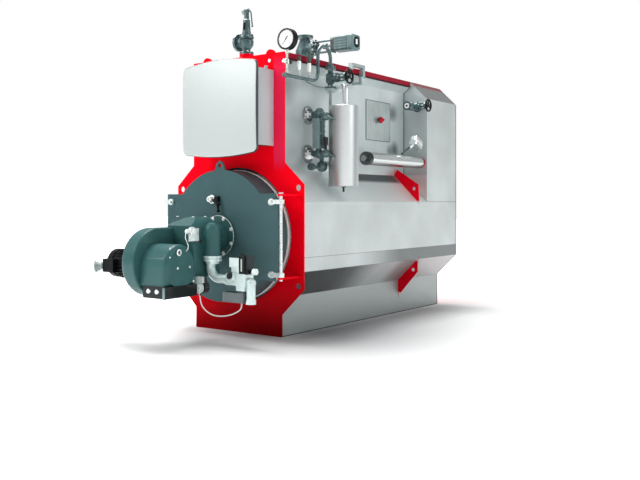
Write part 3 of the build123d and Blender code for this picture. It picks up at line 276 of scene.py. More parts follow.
def rail_paint():
    """Dark red of the roof rails, with a painted shadow line, nearly black, along their foot."""
    f = Finish("rail_paint", coat=0.03, specular=0.1)
    f.base((0.26, 0.002, 0.016), 0.10)
    # painted shadow line along the foot of the rails
    f.band("Z", 2.0, 2.110, (0.035, 0.004, 0.010), 0.002)
    return f.done((0.3, 0.42), f.grain(380.0, 3.0), 0.0006, 0.3)


def rear_paint():
    """Red rear sheet; its thin cut edge is darker with painted shade."""
    f = Finish("rear_frame_paint", specular=0.06)
    f.base((0.78, 0.0, 0.012), 0.05)
    # painted shade on the faces that do not look along Y, the thin edge of the sheet
    f.lay(f.spread(f.squarely("Y"), 1.0, 0.0, 0.3, 0.6), (0.085, 0.002, 0.005))
    return f.done((0.30, 0.42), f.grain(380.0, 3.0), 0.0006, 0.3)


def casing_finish():
    """Patterned side sheets; each fold of the sheet has its own painted light and shade."""
    f = Finish("casing_sheet", metal=0.55)
    f.base((0.56, 0.61, 0.61), 0.08, 3.0)
    f.band("Z", -0.1, foot_top, (0.38, 0.425, 0.425))
    clouds = f.spread(f.grain(1.6, 2.0, (1, 1, 1.6)), 0.0, 1.0, 0.35, 0.7)
    f.lay(clouds, (0.36, 0.40, 0.40), 0.25)
    # painted shade under the roof along the top of the fittings side
    painted_roof_shade = f.both(f.within("Z", 1.98, 2.20, 0.004), f.spread(f.facing("X"), 0.0, 1.0, 0.4, 0.6))
    f.lay(painted_roof_shade, (0.17, 0.18, 0.18))
    # red of the roof rail along the top edge behind the recess
    edge = f.both(f.within("Z", 2.112, 2.1502), f.within("Y", recess_rear, 1.30))
    f.lay(f.both(edge, f.spread(f.squarely("X"), 0.0, 1.0, 0.3, 0.5)), (0.22, 0.004, 0.014))
    # ledge under the recess: painted light on it, with a painted reflection as a dark band along
    # the wall
    ledge = f.both(f.within("Z", ledge_low, ledge_top), f.within("Y", -1.3, recess_rear))
    f.lay(ledge, (0.80, 0.87, 0.87))
    # painted reflection: a dark band along the foot of the recess wall
    band = f.both(f.within("Z", 1.195, ledge_top, 0.012), f.within("Y", -0.50, 0.52, 0.10))
    f.lay(band, (0.10, 0.11, 0.115))
    # slope under the side: painted reflections, dark near the front, light towards the middle
    # the ramp's greys are painted reflections along the slope
    run = f.node("ShaderNodeValToRGB")
    f.feed(run.inputs[0], f.spread(f.along("Y"), 0.0, 1.0, -1.284, 1.284))
    fill_ramp(run.color_ramp, [
        (0.0, 0.090), (0.22, 0.14), (0.29, 0.24), (0.36, 0.52), (0.44, 0.80), (0.54, 0.76),
        (0.60, 0.42), (0.66, 0.34), (0.75, 0.62), (1.0, 0.52),
    ], (0.97, 1.0, 1.01))
    f.lay(f.within("Z", foot_top, slope_top), run.outputs[0])
    # painted shade on the fold above the slope, a dark seam between the side sheets, a painted
    # contact shadow along the floor edge
    painted_fold_shade = f.spread(f.along("Y"), 0.0, 0.9, -0.55, 0.15)
    f.lay(f.both(f.within("Z", slope_top, seam_z), painted_fold_shade), (0.115, 0.128, 0.132))
    f.band("Z", seam_z - 0.0015, seam_z + 0.0015, (0.10, 0.11, 0.11), 0.0006)
    # painted contact shadow where the sheet meets the floor
    f.band("Z", -0.01, 0.007, (0.03, 0.034, 0.035))
    # crossing rows of small raised ribs, as on patterned sheet, on the long sides only
    rows = f.both(f.waves(26.0, 38), f.waves(26.0, -38))
    ribs = f.both(rows, f.spread(f.squarely("X"), 0.0, 1.0, 0.5, 0.8))
    f.lay(ribs, (0.22, 0.25, 0.25), 0.42)
    return f.done((0.30, 0.42, 45.0), ribs, 0.0030, 0.55)


def recess_finish():
    """Smooth recess wall: clouds, painted blurred reflections of the fittings, a painted highlight,
    painted shade towards the front end, a dark line at the rear end.
    """
    f = Finish("recess_sheet", metal=0.6)
    f.base((0.62, 0.69, 0.69), 0.04, 3.0)
    clouds = f.spread(f.grain(2.2, 3.0, (1, 1, 0.7)), 0.0, 1.0, 0.45, 0.72)
    f.lay(clouds, (0.38, 0.44, 0.45), 0.45)
    # painted reflections: dark blurred spots where the valves and wheels reflect in the wall
    for y, z, wide, much in (
        (0.459, 1.845, 0.10, 0.95), (0.39, 1.835, 0.08, 0.8), (0.49, 1.505, 0.09, 0.8),
        (0.40, 1.49, 0.07, 0.6), (-1.18, 1.90, 0.16, 0.45), (-0.56, 1.45, 0.13, 0.35),
    ):
        f.lay(f.near((wall_x, y, z), wide * 0.6, wide * 0.4), (0.06, 0.068, 0.072), much)
    # painted highlight on the wall
    f.lay(f.near((wall_x, 0.44, 1.98), 0.11, 0.11), (0.95, 0.98, 0.98), 0.6)
    # painted shade towards the front end of the recess
    f.lay(f.spread(f.along("Y"), 0.28, 0.0, -1.27, -0.95), (0.16, 0.18, 0.19))
    f.band("Y", 0.6635, 0.6755, (0.03, 0.034, 0.038), 0.0008)
    return f.done((0.34, 0.42, 6.0), f.grain(2.2, 1.0), 0.002, 0.12)


def panel_finish():
    """Access panel: brushed field, darker outline, red knob on a black stem."""
    f = Finish("panel_sheet", metal=0.6)
    f.base((0.47, 0.54, 0.53), 0.12, 14.0, (1, 6, 0.6))
    inside = f.both(f.within("Y", -0.014, 0.398), f.within("Z", 1.572, 1.917))
    f.lay(f.math("SUBTRACT", 1.0, inside), (0.16, 0.18, 0.185))
    f.band("X", 0.409, 0.60, (0.50, 0.006, 0.03))
    f.band("X", 0.409, 0.432, (0.02, 0.02, 0.022))
    return f.done((0.32, 0.42, 8.0), f.grain(2.6, 1.0), 0.002, 0.12)


def cabinet_finish():
    """Sides of the cabinet, with painted shade: darker towards the burner, dark on the faces turned
    down.
    """
    f = Finish("cabinet_side", metal=0.12)
    f.base((0.46, 0.54, 0.56), 0.04, 30.0, (1, 1, 8))
    # painted shade towards the burner end
    f.lay(f.spread(f.along("Y"), 0.0, 0.55, -1.30, -1.49), (0.27, 0.31, 0.32))
    # painted shade on the faces turned down
    f.lay(f.spread(f.facing("Z"), 1.0, 0.0, -0.8, -0.2), (0.035, 0.045, 0.055))
    return f.done((0.3, 0.42, 60.0, (1, 1, 8)), f.grain(260.0, 3.0, (1, 1, 12)), 0.0004, 0.3)


def cover_finish():
    """Brushed front of the cabinet: level streaks, painted light towards its foot, painted shade of
    the gap round its edge.
    """
    f = Finish("cabinet_cover", metal=0.35)
    f.base((0.435, 0.475, 0.47), 0.04, 40.0, (1, 1, 9))
    # painted light: the cover grows lighter towards its foot
    f.lay(f.spread(f.along("Z"), 0.0, 0.4, 1.95, 1.36), (0.49, 0.54, 0.54))
    # painted shade of the gap on the turned edge of the cover
    f.lay(f.spread(f.facing("Y"), 0.0, 1.0, -0.90, -0.78), (0.045, 0.055, 0.058))
    return f.done((0.34, 0.46, 90.0, (1, 1, 10)), f.grain(260.0, 3.0, (1, 1, 12)), 0.0004, 0.4)


def door_finish():
    """Dark teal door, with a painted sheen lighter low down on the hinge side."""
    f = Finish("door_paint", specular=0.15)
    f.base((0.043, 0.096, 0.104), 0.05, 6.0)
    hinge_side = f.spread(f.along("X"), 0.0, 1.0, -0.1, 0.5)
    low_down = f.spread(f.along("Z"), 1.0, 0.0, 0.3, 1.2)
    # painted sheen low down on the hinge side
    f.lay(f.both(hinge_side, low_down), (0.105, 0.185, 0.195), 0.6)
    return f.done((0.40, 0.52), f.grain(350.0, 3.0), 0.0005, 0.3)


def burner_finish():
    """Dark green burner paint; the tray below is nearly black."""
    f = Finish("burner_paint", coat=0.16, coat_rough=0.05, specular=0.12)
    f.base((0.032, 0.100, 0.100), 0.06, 8.0)
    tray = f.both(f.within("Z", 0.0, 0.4405, 0.0008), f.within("X", -0.03, 0.30, 0.002))
    f.lay(tray, (0.008, 0.012, 0.013))
    return f.done((0.36, 0.46, 26.0), f.grain(160.0, 4.0), 0.0004, 0.3)


def cast_finish():
    """Painted castings, a little coarse."""
    f = Finish("cast_paint", metal=0.25, coat=0.45, coat_rough=0.10, specular=0.35)
    f.base((0.060, 0.108, 0.113), 0.30, 22.0)
    return f.done((0.24, 0.40, 50.0), f.grain(230.0, 5.0), 0.0012, 0.5)


def cock_finish():
    """Painted cocks: grey rosettes, bright caps in front, black on the small grips."""
    f = Finish("cock_paint", metal=0.25, coat=0.5, coat_rough=0.10, specular=0.4)
    f.base((0.068, 0.120, 0.125), 0.30, 22.0)
    f.band("X", 0.3995, 0.4215, (0.26, 0.31, 0.32))
    for z in cock_heights:
        f.lay(f.near((rosette_x, cock_y, z), 0.050), (0.05, 0.075, 0.08))
        f.lay(f.near((cap_x, -0.966, z), 0.027), (0.74, 0.79, 0.78))
    grip = f.both(f.within("Z", 1.43, 1.53, 0.002), f.within("X", 0.56, 0.70, 0.002))
    f.lay(grip, (0.012, 0.013, 0.014))
    return f.done((0.24, 0.38, 50.0), f.grain(230.0, 5.0), 0.0010, 0.45)


def vessel_finish():
    """Polished jacket: streaks run round it, the light falls in upright bands."""
    f = Finish("vessel_jacket", metal=0.8)
    f.base((0.66, 0.70, 0.70), 0.05, 30.0, (1, 1, 6))
    # painted reflections: soft upright bands, dark and pale, laid out from left to right as the
    # camera sees them
    right_x, right_y, soft = 0.796, 0.605, 0.014
    across = f.math("ADD", f.times(f.along("X"), right_x), f.times(f.along("Y"), right_y))
    middle = vessel_x * right_x + vessel_y * right_y
    dark, pale = (0.22, 0.25, 0.25), (0.90, 0.93, 0.93)
    for start, end, shade, much in (
        (-0.110, -0.040, dark, 0.6), (-0.020, 0.030, pale, 0.7), (0.066, 0.100, dark, 0.6),
    ):
        rise = f.spread(across, 0.0, much, middle + start - soft, middle + start + soft)
        fall = f.spread(across, 1.0, 0.0, middle + end - soft, middle + end + soft)
        f.lay(f.both(rise, fall), shade)
    f.band("Z", 1.05, 1.1395, (0.03, 0.038, 0.04), 0.0008)
    return f.done((0.30, 0.38, 60.0, (1, 1, 10)), f.grain(240.0, 3.0, (1, 1, 10)), 0.0003, 0.3)


def line_finish():
    """Polished jacket of the level line, painted shade on its underside: dark flange in front, red
    ring behind.
    """
    f = Finish("line_jacket", metal=0.85)
    f.base((0.62, 0.66, 0.66), 0.05, 30.0, (1, 6, 1))
    # painted shade on the faces turned down
    f.lay(f.spread(f.facing("Z"), 1.0, 0.0, -0.75, 0.15), (0.16, 0.18, 0.18), 0.8)
    f.band("Y", -0.3095, -0.2765, (0.02, 0.024, 0.026))
    f.band("Y", 0.6345, 0.70, (0.50, 0.006, 0.012))
    return f.done((0.15, 0.26, 60.0, (1, 8, 1)), f.grain(240.0, 3.0, (1, 10, 1)), 0.0003, 0.3)


def gauge_cock_finish():
    """Three-way cock under the dial: bright body, one white and one dark knob."""
    f = Finish("gauge_cock", metal=0.7)
    f.base((0.60, 0.63, 0.58), 0.08, 30.0)
    f.band("Y", -1.50, -1.352, (0.80, 0.82, 0.80))
    f.band("Y", -1.306, -1.20, (0.05, 0.07, 0.07))
    return f.done((0.20, 0.32, 40.0), f.grain(300.0, 3.0), 0.0004, 0.3)


def sensor_finish():
    """Pressure switches: white body, silver neck below it, dark plug above."""
    f = Finish("sensor_body", metal=0.15)
    f.base((0.80, 0.84, 0.82), 0.05, 40.0)
    f.band("Z", 1.90, 2.022, (0.42, 0.48, 0.47))
    f.band("Z", 2.088, 2.30, (0.045, 0.075, 0.062))
    return f.done((0.25, 0.38, 40.0), f.grain(300.0, 3.0), 0.0003, 0.3)


def actuator_finish():
    """Painted housing of the valve drive: painted patches of shine, ribs drawn as painted shade,
    dark neck and edge.
    """
    f = Finish("actuator_paint", coat=0.08, coat_rough=0.1, specular=0.2)
    f.base((0.085, 0.150, 0.155), 0.10, 20.0)
    # painted highlights: patches of shine on the housing
    f.lay(f.spread(f.grain(9.0, 1.0, (3, 1, 0.3)), 0.0, 0.45, 0.50, 0.62), (0.24, 0.33, 0.33))
    # painted shade between the ribs
    ribs = f.spread(f.waves(14.0, 90), 0.0, 0.75, 0.55, 0.8)
    f.lay(f.both(ribs, f.within("X", 0.492, 0.598)), (0.035, 0.055, 0.058))
    f.band("X", 0.43, 0.480, (0.022, 0.032, 0.034))
    f.band("X", 0.598, 0.604, (0.02, 0.03, 0.032), 0.0008)
    return f.done((0.26, 0.38, 40.0), f.grain(200.0, 4.0), 0.0006, 0.4)


def drive_finish():
    """Gas valve drives: a pale housing with a plate, a black one, black tops."""
    f = Finish("gas_drive_housing", specular=0.25)
    f.base((0.68, 0.78, 0.76), 0.05, 30.0)
    f.band("X", 0.4835, 0.5755, (0.008, 0.012, 0.013))
    f.band("Z", 0.628, 0.70, (0.010, 0.014, 0.015))
    plate = f.both(f.within("X", 0.500, 0.512), f.within("Z", 0.535, 0.622))
    f.lay(plate, (0.55, 0.64, 0.62))
    return f.done((0.28, 0.40, 40.0), f.grain(260.0, 3.0), 0.0003, 0.3)


def gas_block_finish():
    """Bright gas valve block: a dark knob, shaded below."""
    f = Finish("gas_block", metal=0.4)
    f.base((0.60, 0.72, 0.71), 0.07, 24.0)
    f.lay(f.near((0.423, -1.880, 0.508), 0.030), (0.02, 0.028, 0.03))
    under = f.both(f.within("X", 0.36, 0.46, 0.002), f.within("Z", 0.40, 0.436))
    f.lay(under, (0.12, 0.15, 0.155))
    return f.done((0.26, 0.40, 36.0), f.grain(300.0, 2.0), 0.0002, 0.2)


def servo_finish():
    """Air servo: bright front, black rear."""
    f = Finish("servo_housing", coat=0.1)
    f.base((0.60, 0.68, 0.67), 0.05, 30.0)
    f.band("Y", -1.926, -1.80, (0.008, 0.010, 0.011))
    return f.done((0.28, 0.42, 40.0), f.grain(260.0, 3.0), 0.0003, 0.3)


def probe_finish():
    """Polished head of the level probe on its dark stem."""
    f = Finish("probe_head", metal=0.9)
    f.base((0.82, 0.86, 0.86), 0.05, 24.0)
    f.band("Y", 0.20, 0.420, (0.10, 0.13, 0.135), 0.004)
    return f.done((0.14, 0.24, 20.0), f.grain(40.0, 2.0), 0.0010, 0.3)


def cable_finish():
    f = Finish("cable_white", sheen=0.1)
    f.base((0.74, 0.74, 0.70), 0.06, 40.0)
    return f.done((0.42, 0.58), f.grain(500.0, 3.0), 0.0003, 0.3)


def glass_finish():
    f = Finish("sight_glass", coat=1.0, coat_rough=0.02, specular=0.8)
    f.base((0.012, 0.030, 0.030), 0.3, 12.0)
    return f.done((0.05, 0.12))


# Finishes that small pieces use too
green = burner_finish()
cast = cast_finish()
gauge_paint = plain_finish(
    "gauge_paint", (0.165, 0.250, 0.255), 0.30, 0.44, scale=30.0, metal=0.2, coat=0.2)
cap_white = plain_finish("cap_white", (0.86, 0.90, 0.89), 0.3, 0.42, scale=30.0)
zinc = bright_finish("zinc_screws", (0.88, 0.92, 0.91), 0.2, 0.32, 0.3)
black = plain_finish("black_plastic", (0.005, 0.006, 0.007), 0.30, 0.44, specular=0.10)
ink = plain_finish("dial_ink", (0.008, 0.008, 0.009), 0.4, 0.5)
dial_white = plain_finish(
    "dial_white", (0.82, 0.83, 0.82), 0.35, 0.45, scale=20.0, depth=0.0002, vary=0.02)
cable = cable_finish()
glass = glass_finish()

finish = {
    front_paint(): ["front_frame"],
    middle_paint(): ["mid_frame", "safety_nozzle"],
    rear_paint(): ["rear_frame"],
    rail_paint(): ["roof_rail_left", "roof_rail_right"],
    casing_finish(): [
        "casing_side_left", "casing_side_right", "rear_casing_left", "rear_casing_right",
        "roof_sheet",
    ],
    recess_finish(): ["recess_wall_left", "recess_wall_right"],
    panel_finish(): ["access_panel"],
    cabinet_finish(): ["cabinet_body"],
    cover_finish(): ["cabinet_cover"],
    plain_finish("plain_iron", (0.05, 0.05, 0.055), 0.5, 0.65, metal=0.4): [
        "base_frame", "boiler_shell", "tube_plate", "flame_tube",
    ],
    plain_finish("seat_white", (1.0, 1.0, 1.0), 0.42, 0.55, scale=30.0, vary=0.02, depth=0.0002): [
        "door_seat",
    ],
    cable: ["servo_cable"],
    plain_finish("lining", (0.55, 0.50, 0.42), 0.85, 0.95, depth=0.003, vary=0.12): [
        "door_lining",
    ],
    door_finish(): ["door"],
    bright_finish("bright_metal", (0.72, 0.79, 0.78), 0.22, 0.36, 0.45): [
        "hinge_rod", "hinge_eye_lower", "hinge_eye_upper", "closing_bolt_lower",
        "closing_bolt_upper", "air_switch",
    ],
    bright_finish("gas_metal", (0.60, 0.72, 0.71), 0.26, 0.40, 0.4): ["gas_elbow"],
    gas_block_finish(): ["gas_valve"],
    drive_finish(): ["gas_drives"],
    servo_finish(): ["air_servo"],
    probe_finish(): ["level_probe"],
    actuator_finish(): ["actuator"],
    sensor_finish(): ["pressure_switch_front", "pressure_switch_rear"],
    vessel_finish(): ["electrode_vessel"],
    line_finish(): ["insulated_line"],
    green: ["burner_flange", "burner_casing", "intake_hood"],
    cast: ["safety_valve", "steam_valve", "shutoff_valve", "feed_valve", "pressure_line"],
    cock_finish(): ["level_cock_lower", "level_cock_upper"],
    gauge_paint: ["level_gauge"],
    bright_finish("dull_metal", (0.36, 0.44, 0.44), 0.30, 0.44, 0.5): [
        "instrument_bracket", "level_pipe",
    ],
    gauge_cock_finish(): ["gauge_cock"],
    black: ["burner_motor", "pressure_gauge"],
    plain_finish("grey_plastic", (0.09, 0.12, 0.125), 0.3, 0.42, coat=0.1): ["gas_regulator"],
    plain_finish("plug_white", (0.27, 0.32, 0.31), 0.28, 0.4, scale=30.0): ["motor_plug"],
    plain_finish("wheel_black", (0.004, 0.005, 0.006), 0.24, 0.36, specular=0.12): [
        "shutoff_handwheel", "feed_handwheel",
    ],
}
for mat, names in finish.items():
    for name in names:
        obj = nodes[name]
        obj.data.materials.clear()
        obj.data.materials.append(mat)


# Making of small pieces
def finished(name, mesh, body, mat):
    obj = placed(name, mesh)
    mesh.materials.clear()
    mesh.materials.append(mat)
    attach(obj, body)


def plain_mesh(obj):
    """The mesh that an object shows, as a plain mesh; the object itself goes."""
    bpy.context.view_layer.update()
    view = bpy.context.evaluated_depsgraph_get()
    mesh = bpy.data.meshes.new_from_object(obj.evaluated_get(view), depsgraph=view)
    bpy.data.objects.remove(obj)
    return mesh


def round_line(name, points, radius, steps, roundness):
    """A round smooth line near the points, with closed ends."""
    curve = bpy.data.curves.new(name, "CURVE")
    curve.dimensions = "3D"
    spline = curve.splines.new("NURBS")
    spline.points.add(len(points) - 1)
    for point, at in zip(spline.points, points):
        point.co = (*at, 1)
    spline.order_u = 3
    spline.use_endpoint_u = True
    spline.resolution_u = steps
    curve.bevel_depth = radius
    curve.bevel_resolution = roundness
    curve.use_fill_caps = True
    return placed(name, curve)


def sides(direction):
    """The direction with length 1 and two more, square to it and to each other."""
    d = Vector(direction).normalized()
    other = Vector((0, 0, 1)) if abs(d.z) < 0.9 else Vector((0, 1, 0))
    a = d.cross(other).normalized()
    return d, a, d.cross(a).normalized()


def turn_shape(bm, start, direction, profile, count=24, open_middle=False):
    """Turned solid from (how far along, radius) pairs; with an open middle its ends join."""
    d, a, b = sides(direction)
    rings = []
    for run, radius in profile:
        centre = Vector(start) + d * run
        if radius == 0:
            rings.append([bm.verts.new(centre)])
            continue
        ring = []
        for k in range(count):
            angle = 2 * math.pi * k / count
            out = (a * math.cos(angle) + b * math.sin(angle)) * radius
            ring.append(bm.verts.new(centre + out))
        rings.append(ring)
    following = rings[1:] + rings[:1] if open_middle else rings[1:]
    for one, two in zip(rings, following):
        for k in range(count):
            corners = [
                one[k % len(one)], one[(k + 1) % len(one)],
                two[(k + 1) % len(two)], two[k % len(two)],
            ]
            kept = []
            for v in corners:
                if v not in kept:
                    kept.append(v)
            if len(kept) > 2:
                bm.faces.new(kept)
    if open_middle:
        return
    for ring in (rings[0], rings[-1]):
        if len(ring) > 2:
            bm.faces.new(ring)


def bar(bm, a, b, radius):
    along = Vector(b) - Vector(a)
    turn_shape(bm, a, along, [(0, radius), (along.length, radius)], 12)


def ball(bm, centre, radius):
    steps = 8
    profile = []
    for k in range(steps + 1):
        angle = math.pi * k / steps
        ring = radius * math.sin(angle) if 0 < k < steps else 0
        profile.append((radius * (1 - math.cos(angle)), ring))
    turn_shape(bm, Vector(centre) - Vector(up) * radius, up, profile, 16)


def block(bm, low, high, edge):
    """Box with bevelled edges."""
    part = bmesh.new()
    bmesh.ops.create_cube(part, size=1)
    for v in part.verts:
        v.co = Vector([lo + (c + 0.5) * (hi - lo) for c, lo, hi in zip(v.co, low, high)])
    bmesh.ops.bevel(
        part, geom=list(part.edges), offset=edge, segments=2, affect="EDGES", profile=0.5)
    mesh = bpy.data.meshes.new("block")
    part.to_mesh(mesh)
    part.free()
    bm.from_mesh(mesh)
    bpy.data.meshes.remove(mesh)


def prism(bm, low, high):
    """Solid between two flat outlines with the same number of corners."""
    low = [bm.verts.new(p) for p in low]
    high = [bm.verts.new(p) for p in high]
    bm.faces.new(low)
    bm.faces.new(high)
    for k in range(len(low)):
        after = (k + 1) % len(low)
        bm.faces.new([low[k], low[after], high[after], high[k]])


def make(name, body, mat, build):
    """A piece that the build function draws; edges sharper than 35 degrees stay sharp."""
    bm = bmesh.new()
    build(bm)
    bmesh.ops.recalc_face_normals(bm, faces=bm.faces)
    mesh = bpy.data.meshes.new(name)
    bm.to_mesh(mesh)
    bm.free()
    finished(name, mesh, body, mat)
    mesh.shade_smooth()
    mesh.set_sharp_from_angle(angle=math.radians(35))


def turned(name, body, mat, slot, *shape):
    """A piece that is one turned shape."""
    make(name, body, mat, lambda bm: turn_shape(bm, *shape))


def boxes(name, body, mat, corners, edge):
    """A piece of boxes with bevelled edges, each from its low to its high corner."""
    def build(bm):
        for low, high in corners:
            block(bm, low, high, edge)

    make(name, body, mat, build)


# Cable of the air servo: a free loop that hangs between the servo and the regulator
def servo_cable():
    route = [
        (0.1800, -1.9175, 0.3510), (0.1800, -1.9175, 0.3000), (0.2187, -1.9039, 0.2450),
        (0.2754, -1.8841, 0.2140), (0.3409, -1.8611, 0.2110), (0.4065, -1.8381, 0.2250),
        (0.4601, -1.8193, 0.2540), (0.4780, -1.8130, 0.2800), (0.4780, -1.8130, 0.3150),
    ]
    obj = round_line("servo_cable_line", route, 0.0045, 10, 4)
    obj.data.materials.append(cable)
    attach(obj, "burner_door")
    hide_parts("servo_cable")


servo_cable()


# Geometry Nodes: trees built here, made plain meshes at once
def new_tree(name, inputs):
    tree = bpy.data.node_groups.new(name, "GeometryNodeTree")
    face = tree.interface
    face.new_socket("Geometry", in_out="INPUT", socket_type="NodeSocketGeometry")
    for label, kind in inputs:
        face.new_socket(label, in_out="INPUT", socket_type=kind)
    face.new_socket("Geometry", in_out="OUTPUT", socket_type="NodeSocketGeometry")
    return tree, tree.nodes.new("NodeGroupInput"), tree.nodes.new("NodeGroupOutput")


def close_tree(tree, inn, out, geometry):
    """Every tree ends in Realize Instances and Set Material."""
    real = tree.nodes.new("GeometryNodeRealizeInstances")
    dress = tree.nodes.new("GeometryNodeSetMaterial")
    tree.links.new(geometry, real.inputs[0])
    tree.links.new(real.outputs[0], dress.inputs["Geometry"])
    tree.links.new(inn.outputs["Finish"], dress.inputs["Material"])
    tree.links.new(dress.outputs[0], out.inputs[0])


def grown(name, mesh, tree, values):
    """Run a tree on a mesh and return the result as a plain mesh."""
    obj = placed(name + "_seed", mesh)
    step = obj.modifiers.new("grow", "NODES")
    step.node_group = tree
    for item in tree.interface.items_tree:
        if item.item_type == "SOCKET" and item.in_out == "INPUT" and item.name in values:
            step[item.identifier] = values[item.name]
    result = plain_mesh(obj)
    result.name = name
    return result


def screw_tree():
    """A screw head with its washer on every point, turned to the point's direction."""
    tree, inn, out = new_tree("screw_heads", [
        ("Sides", "NodeSocketInt"), ("Head height", "NodeSocketFloat"),
        ("Washer radius", "NodeSocketFloat"), ("Washer height", "NodeSocketFloat"),
        ("Seed", "NodeSocketInt"), ("Finish", "NodeSocketMaterial"),
    ])
    add, link = tree.nodes.new, tree.links.new
    head = add("GeometryNodeMeshCylinder")
    head.inputs["Radius"].default_value = 1.0
    link(inn.outputs["Sides"], head.inputs["Vertices"])
    link(inn.outputs["Head height"], head.inputs["Depth"])
    washer = add("GeometryNodeMeshCylinder")
    washer.inputs["Vertices"].default_value = 16
    link(inn.outputs["Washer radius"], washer.inputs["Radius"])
    link(inn.outputs["Washer height"], washer.inputs["Depth"])
    joined = add("GeometryNodeJoinGeometry")
    for shape, high in ((head, "Head height"), (washer, "Washer height")):
        half = add("ShaderNodeMath")
        half.operation = "MULTIPLY"
        half.inputs[1].default_value = 0.5
        link(inn.outputs[high], half.inputs[0])
        lift = add("ShaderNodeCombineXYZ")
        link(half.outputs[0], lift.inputs["Z"])
        raised = add("GeometryNodeTransform")
        link(shape.outputs["Mesh"], raised.inputs["Geometry"])
        link(lift.outputs[0], raised.inputs["Translation"])
        link(raised.outputs[0], joined.inputs[0])
    facing = add("GeometryNodeInputNamedAttribute")
    facing.data_type = "FLOAT_VECTOR"
    facing.inputs["Name"].default_value = "facing"
    size = add("GeometryNodeInputNamedAttribute")
    size.data_type = "FLOAT"
    size.inputs["Name"].default_value = "size"
    aim = add("FunctionNodeAlignRotationToVector")
    aim.axis = "Z"
    link(facing.outputs["Attribute"], aim.inputs["Vector"])
    chance = add("FunctionNodeRandomValue")
    chance.data_type = "FLOAT"
    chance.inputs[3].default_value = math.tau
    link(inn.outputs["Seed"], chance.inputs["Seed"])
    around = add("ShaderNodeCombineXYZ")
    link(chance.outputs[1], around.inputs["Z"])
    spin = add("FunctionNodeEulerToRotation")
    link(around.outputs[0], spin.inputs[0])
    turned = add("FunctionNodeRotateRotation")
    turned.rotation_space = "LOCAL"
    link(aim.outputs[0], turned.inputs[0])
    link(spin.outputs[0], turned.inputs[1])
    spread = add("GeometryNodeInstanceOnPoints")
    link(inn.outputs["Geometry"], spread.inputs["Points"])
    link(joined.outputs[0], spread.inputs["Instance"])
    link(turned.outputs[0], spread.inputs["Rotation"])
    link(size.outputs["Attribute"], spread.inputs["Scale"])
    close_tree(tree, inn, out, spread.outputs[0])
    return tree


screw_heads = screw_tree()


def screws(name, body, mat, places, count=6, height=0.75, washer=1.45):
    """Screw heads at (place, direction, radius)."""
    mesh = bpy.data.meshes.new(name + "_points")
    mesh.from_pydata([p for p, d, r in places], [], [])
    mesh.attributes.new("facing", "FLOAT_VECTOR", "POINT")
    mesh.attributes.new("size", "FLOAT", "POINT")
    for k, (p, d, r) in enumerate(places):
        mesh.attributes["facing"].data[k].vector = d
        mesh.attributes["size"].data[k].value = r
    result = grown(name, mesh, screw_heads, {
        "Sides": count, "Head height": height, "Washer radius": washer,
        "Washer height": 0.18, "Seed": 3, "Finish": mat,
    })
    finished(name, result, body, mat)


def circle(centre, direction, radius, count, start):
    """Places on a circle round a direction, from a start in degrees."""
    a, b = sides(direction)[1:]
    places = []
    for k in range(count):
        angle = math.radians(start) + 2 * math.pi * k / count
        out = (a * math.cos(angle) + b * math.sin(angle)) * radius
        places.append(tuple(Vector(centre) + out))
    return places


def stand_boxes(tree, inn, out, points, measures):
    """End a tree with a box on each point, standing away from the middle."""
    add, link = tree.nodes.new, tree.links.new
    size = add("ShaderNodeCombineXYZ")
    for letter, label in zip("XYZ", measures):
        link(inn.outputs[label], size.inputs[letter])
    box = add("GeometryNodeMeshCube")
    link(size.outputs[0], box.inputs["Size"])
    place = add("GeometryNodeInputPosition")
    aim = add("FunctionNodeAlignRotationToVector")
    aim.axis = "X"
    link(place.outputs[0], aim.inputs["Vector"])
    spread = add("GeometryNodeInstanceOnPoints")
    link(points, spread.inputs["Points"])
    link(box.outputs["Mesh"], spread.inputs["Instance"])
    link(aim.outputs[0], spread.inputs["Rotation"])
    close_tree(tree, inn, out, spread.outputs[0])


def rib_tree():
    """Straight ribs round a drum, standing on its skin."""
    tree, inn, out = new_tree("drum_ribs", [
        ("Count", "NodeSocketInt"), ("Radius", "NodeSocketFloat"), ("Length", "NodeSocketFloat"),
        ("Height", "NodeSocketFloat"), ("Thickness", "NodeSocketFloat"),
        ("Finish", "NodeSocketMaterial"),
    ])
    ring = tree.nodes.new("GeometryNodeMeshCircle")
    tree.links.new(inn.outputs["Count"], ring.inputs["Vertices"])
    tree.links.new(inn.outputs["Radius"], ring.inputs["Radius"])
    stand_boxes(tree, inn, out, ring.outputs[0], ("Height", "Thickness", "Length"))
    return tree


def mark_tree():
    """Marks of a dial along an arc, each standing across it."""
    tree, inn, out = new_tree("dial_marks", [
        ("Count", "NodeSocketInt"), ("Radius", "NodeSocketFloat"), ("Start", "NodeSocketFloat"),
        ("Sweep", "NodeSocketFloat"), ("Length", "NodeSocketFloat"), ("Width", "NodeSocketFloat"),
        ("Height", "NodeSocketFloat"), ("Finish", "NodeSocketMaterial"),
    ])
    add, link = tree.nodes.new, tree.links.new
    arc = add("GeometryNodeCurveArc")
    for label, own in (
        ("Radius", "Radius"), ("Start", "Start Angle"), ("Sweep", "Sweep Angle"),
        ("Count", "Resolution"),
    ):
        link(inn.outputs[label], arc.inputs[own])
    points = add("GeometryNodeCurveToPoints")
    points.mode = "EVALUATED"
    link(arc.outputs["Curve"], points.inputs[0])
    stand_boxes(tree, inn, out, points.outputs["Points"], ("Length", "Width", "Height"))
    return tree


# Pressure gauge: white dial in a dark bezel, marks, numbers, needle
gauge_at = (0.512, -1.347, 2.231)
dial_y = gauge_at[1] + 0.005
dial_at = (gauge_at[0], dial_y, gauge_at[2])
dial_r, mark_r, number_r = 0.0705, 0.0585, 0.043
print_lift = 0.0011
dial_start = math.radians(225)
dial_sweep = math.radians(-270)


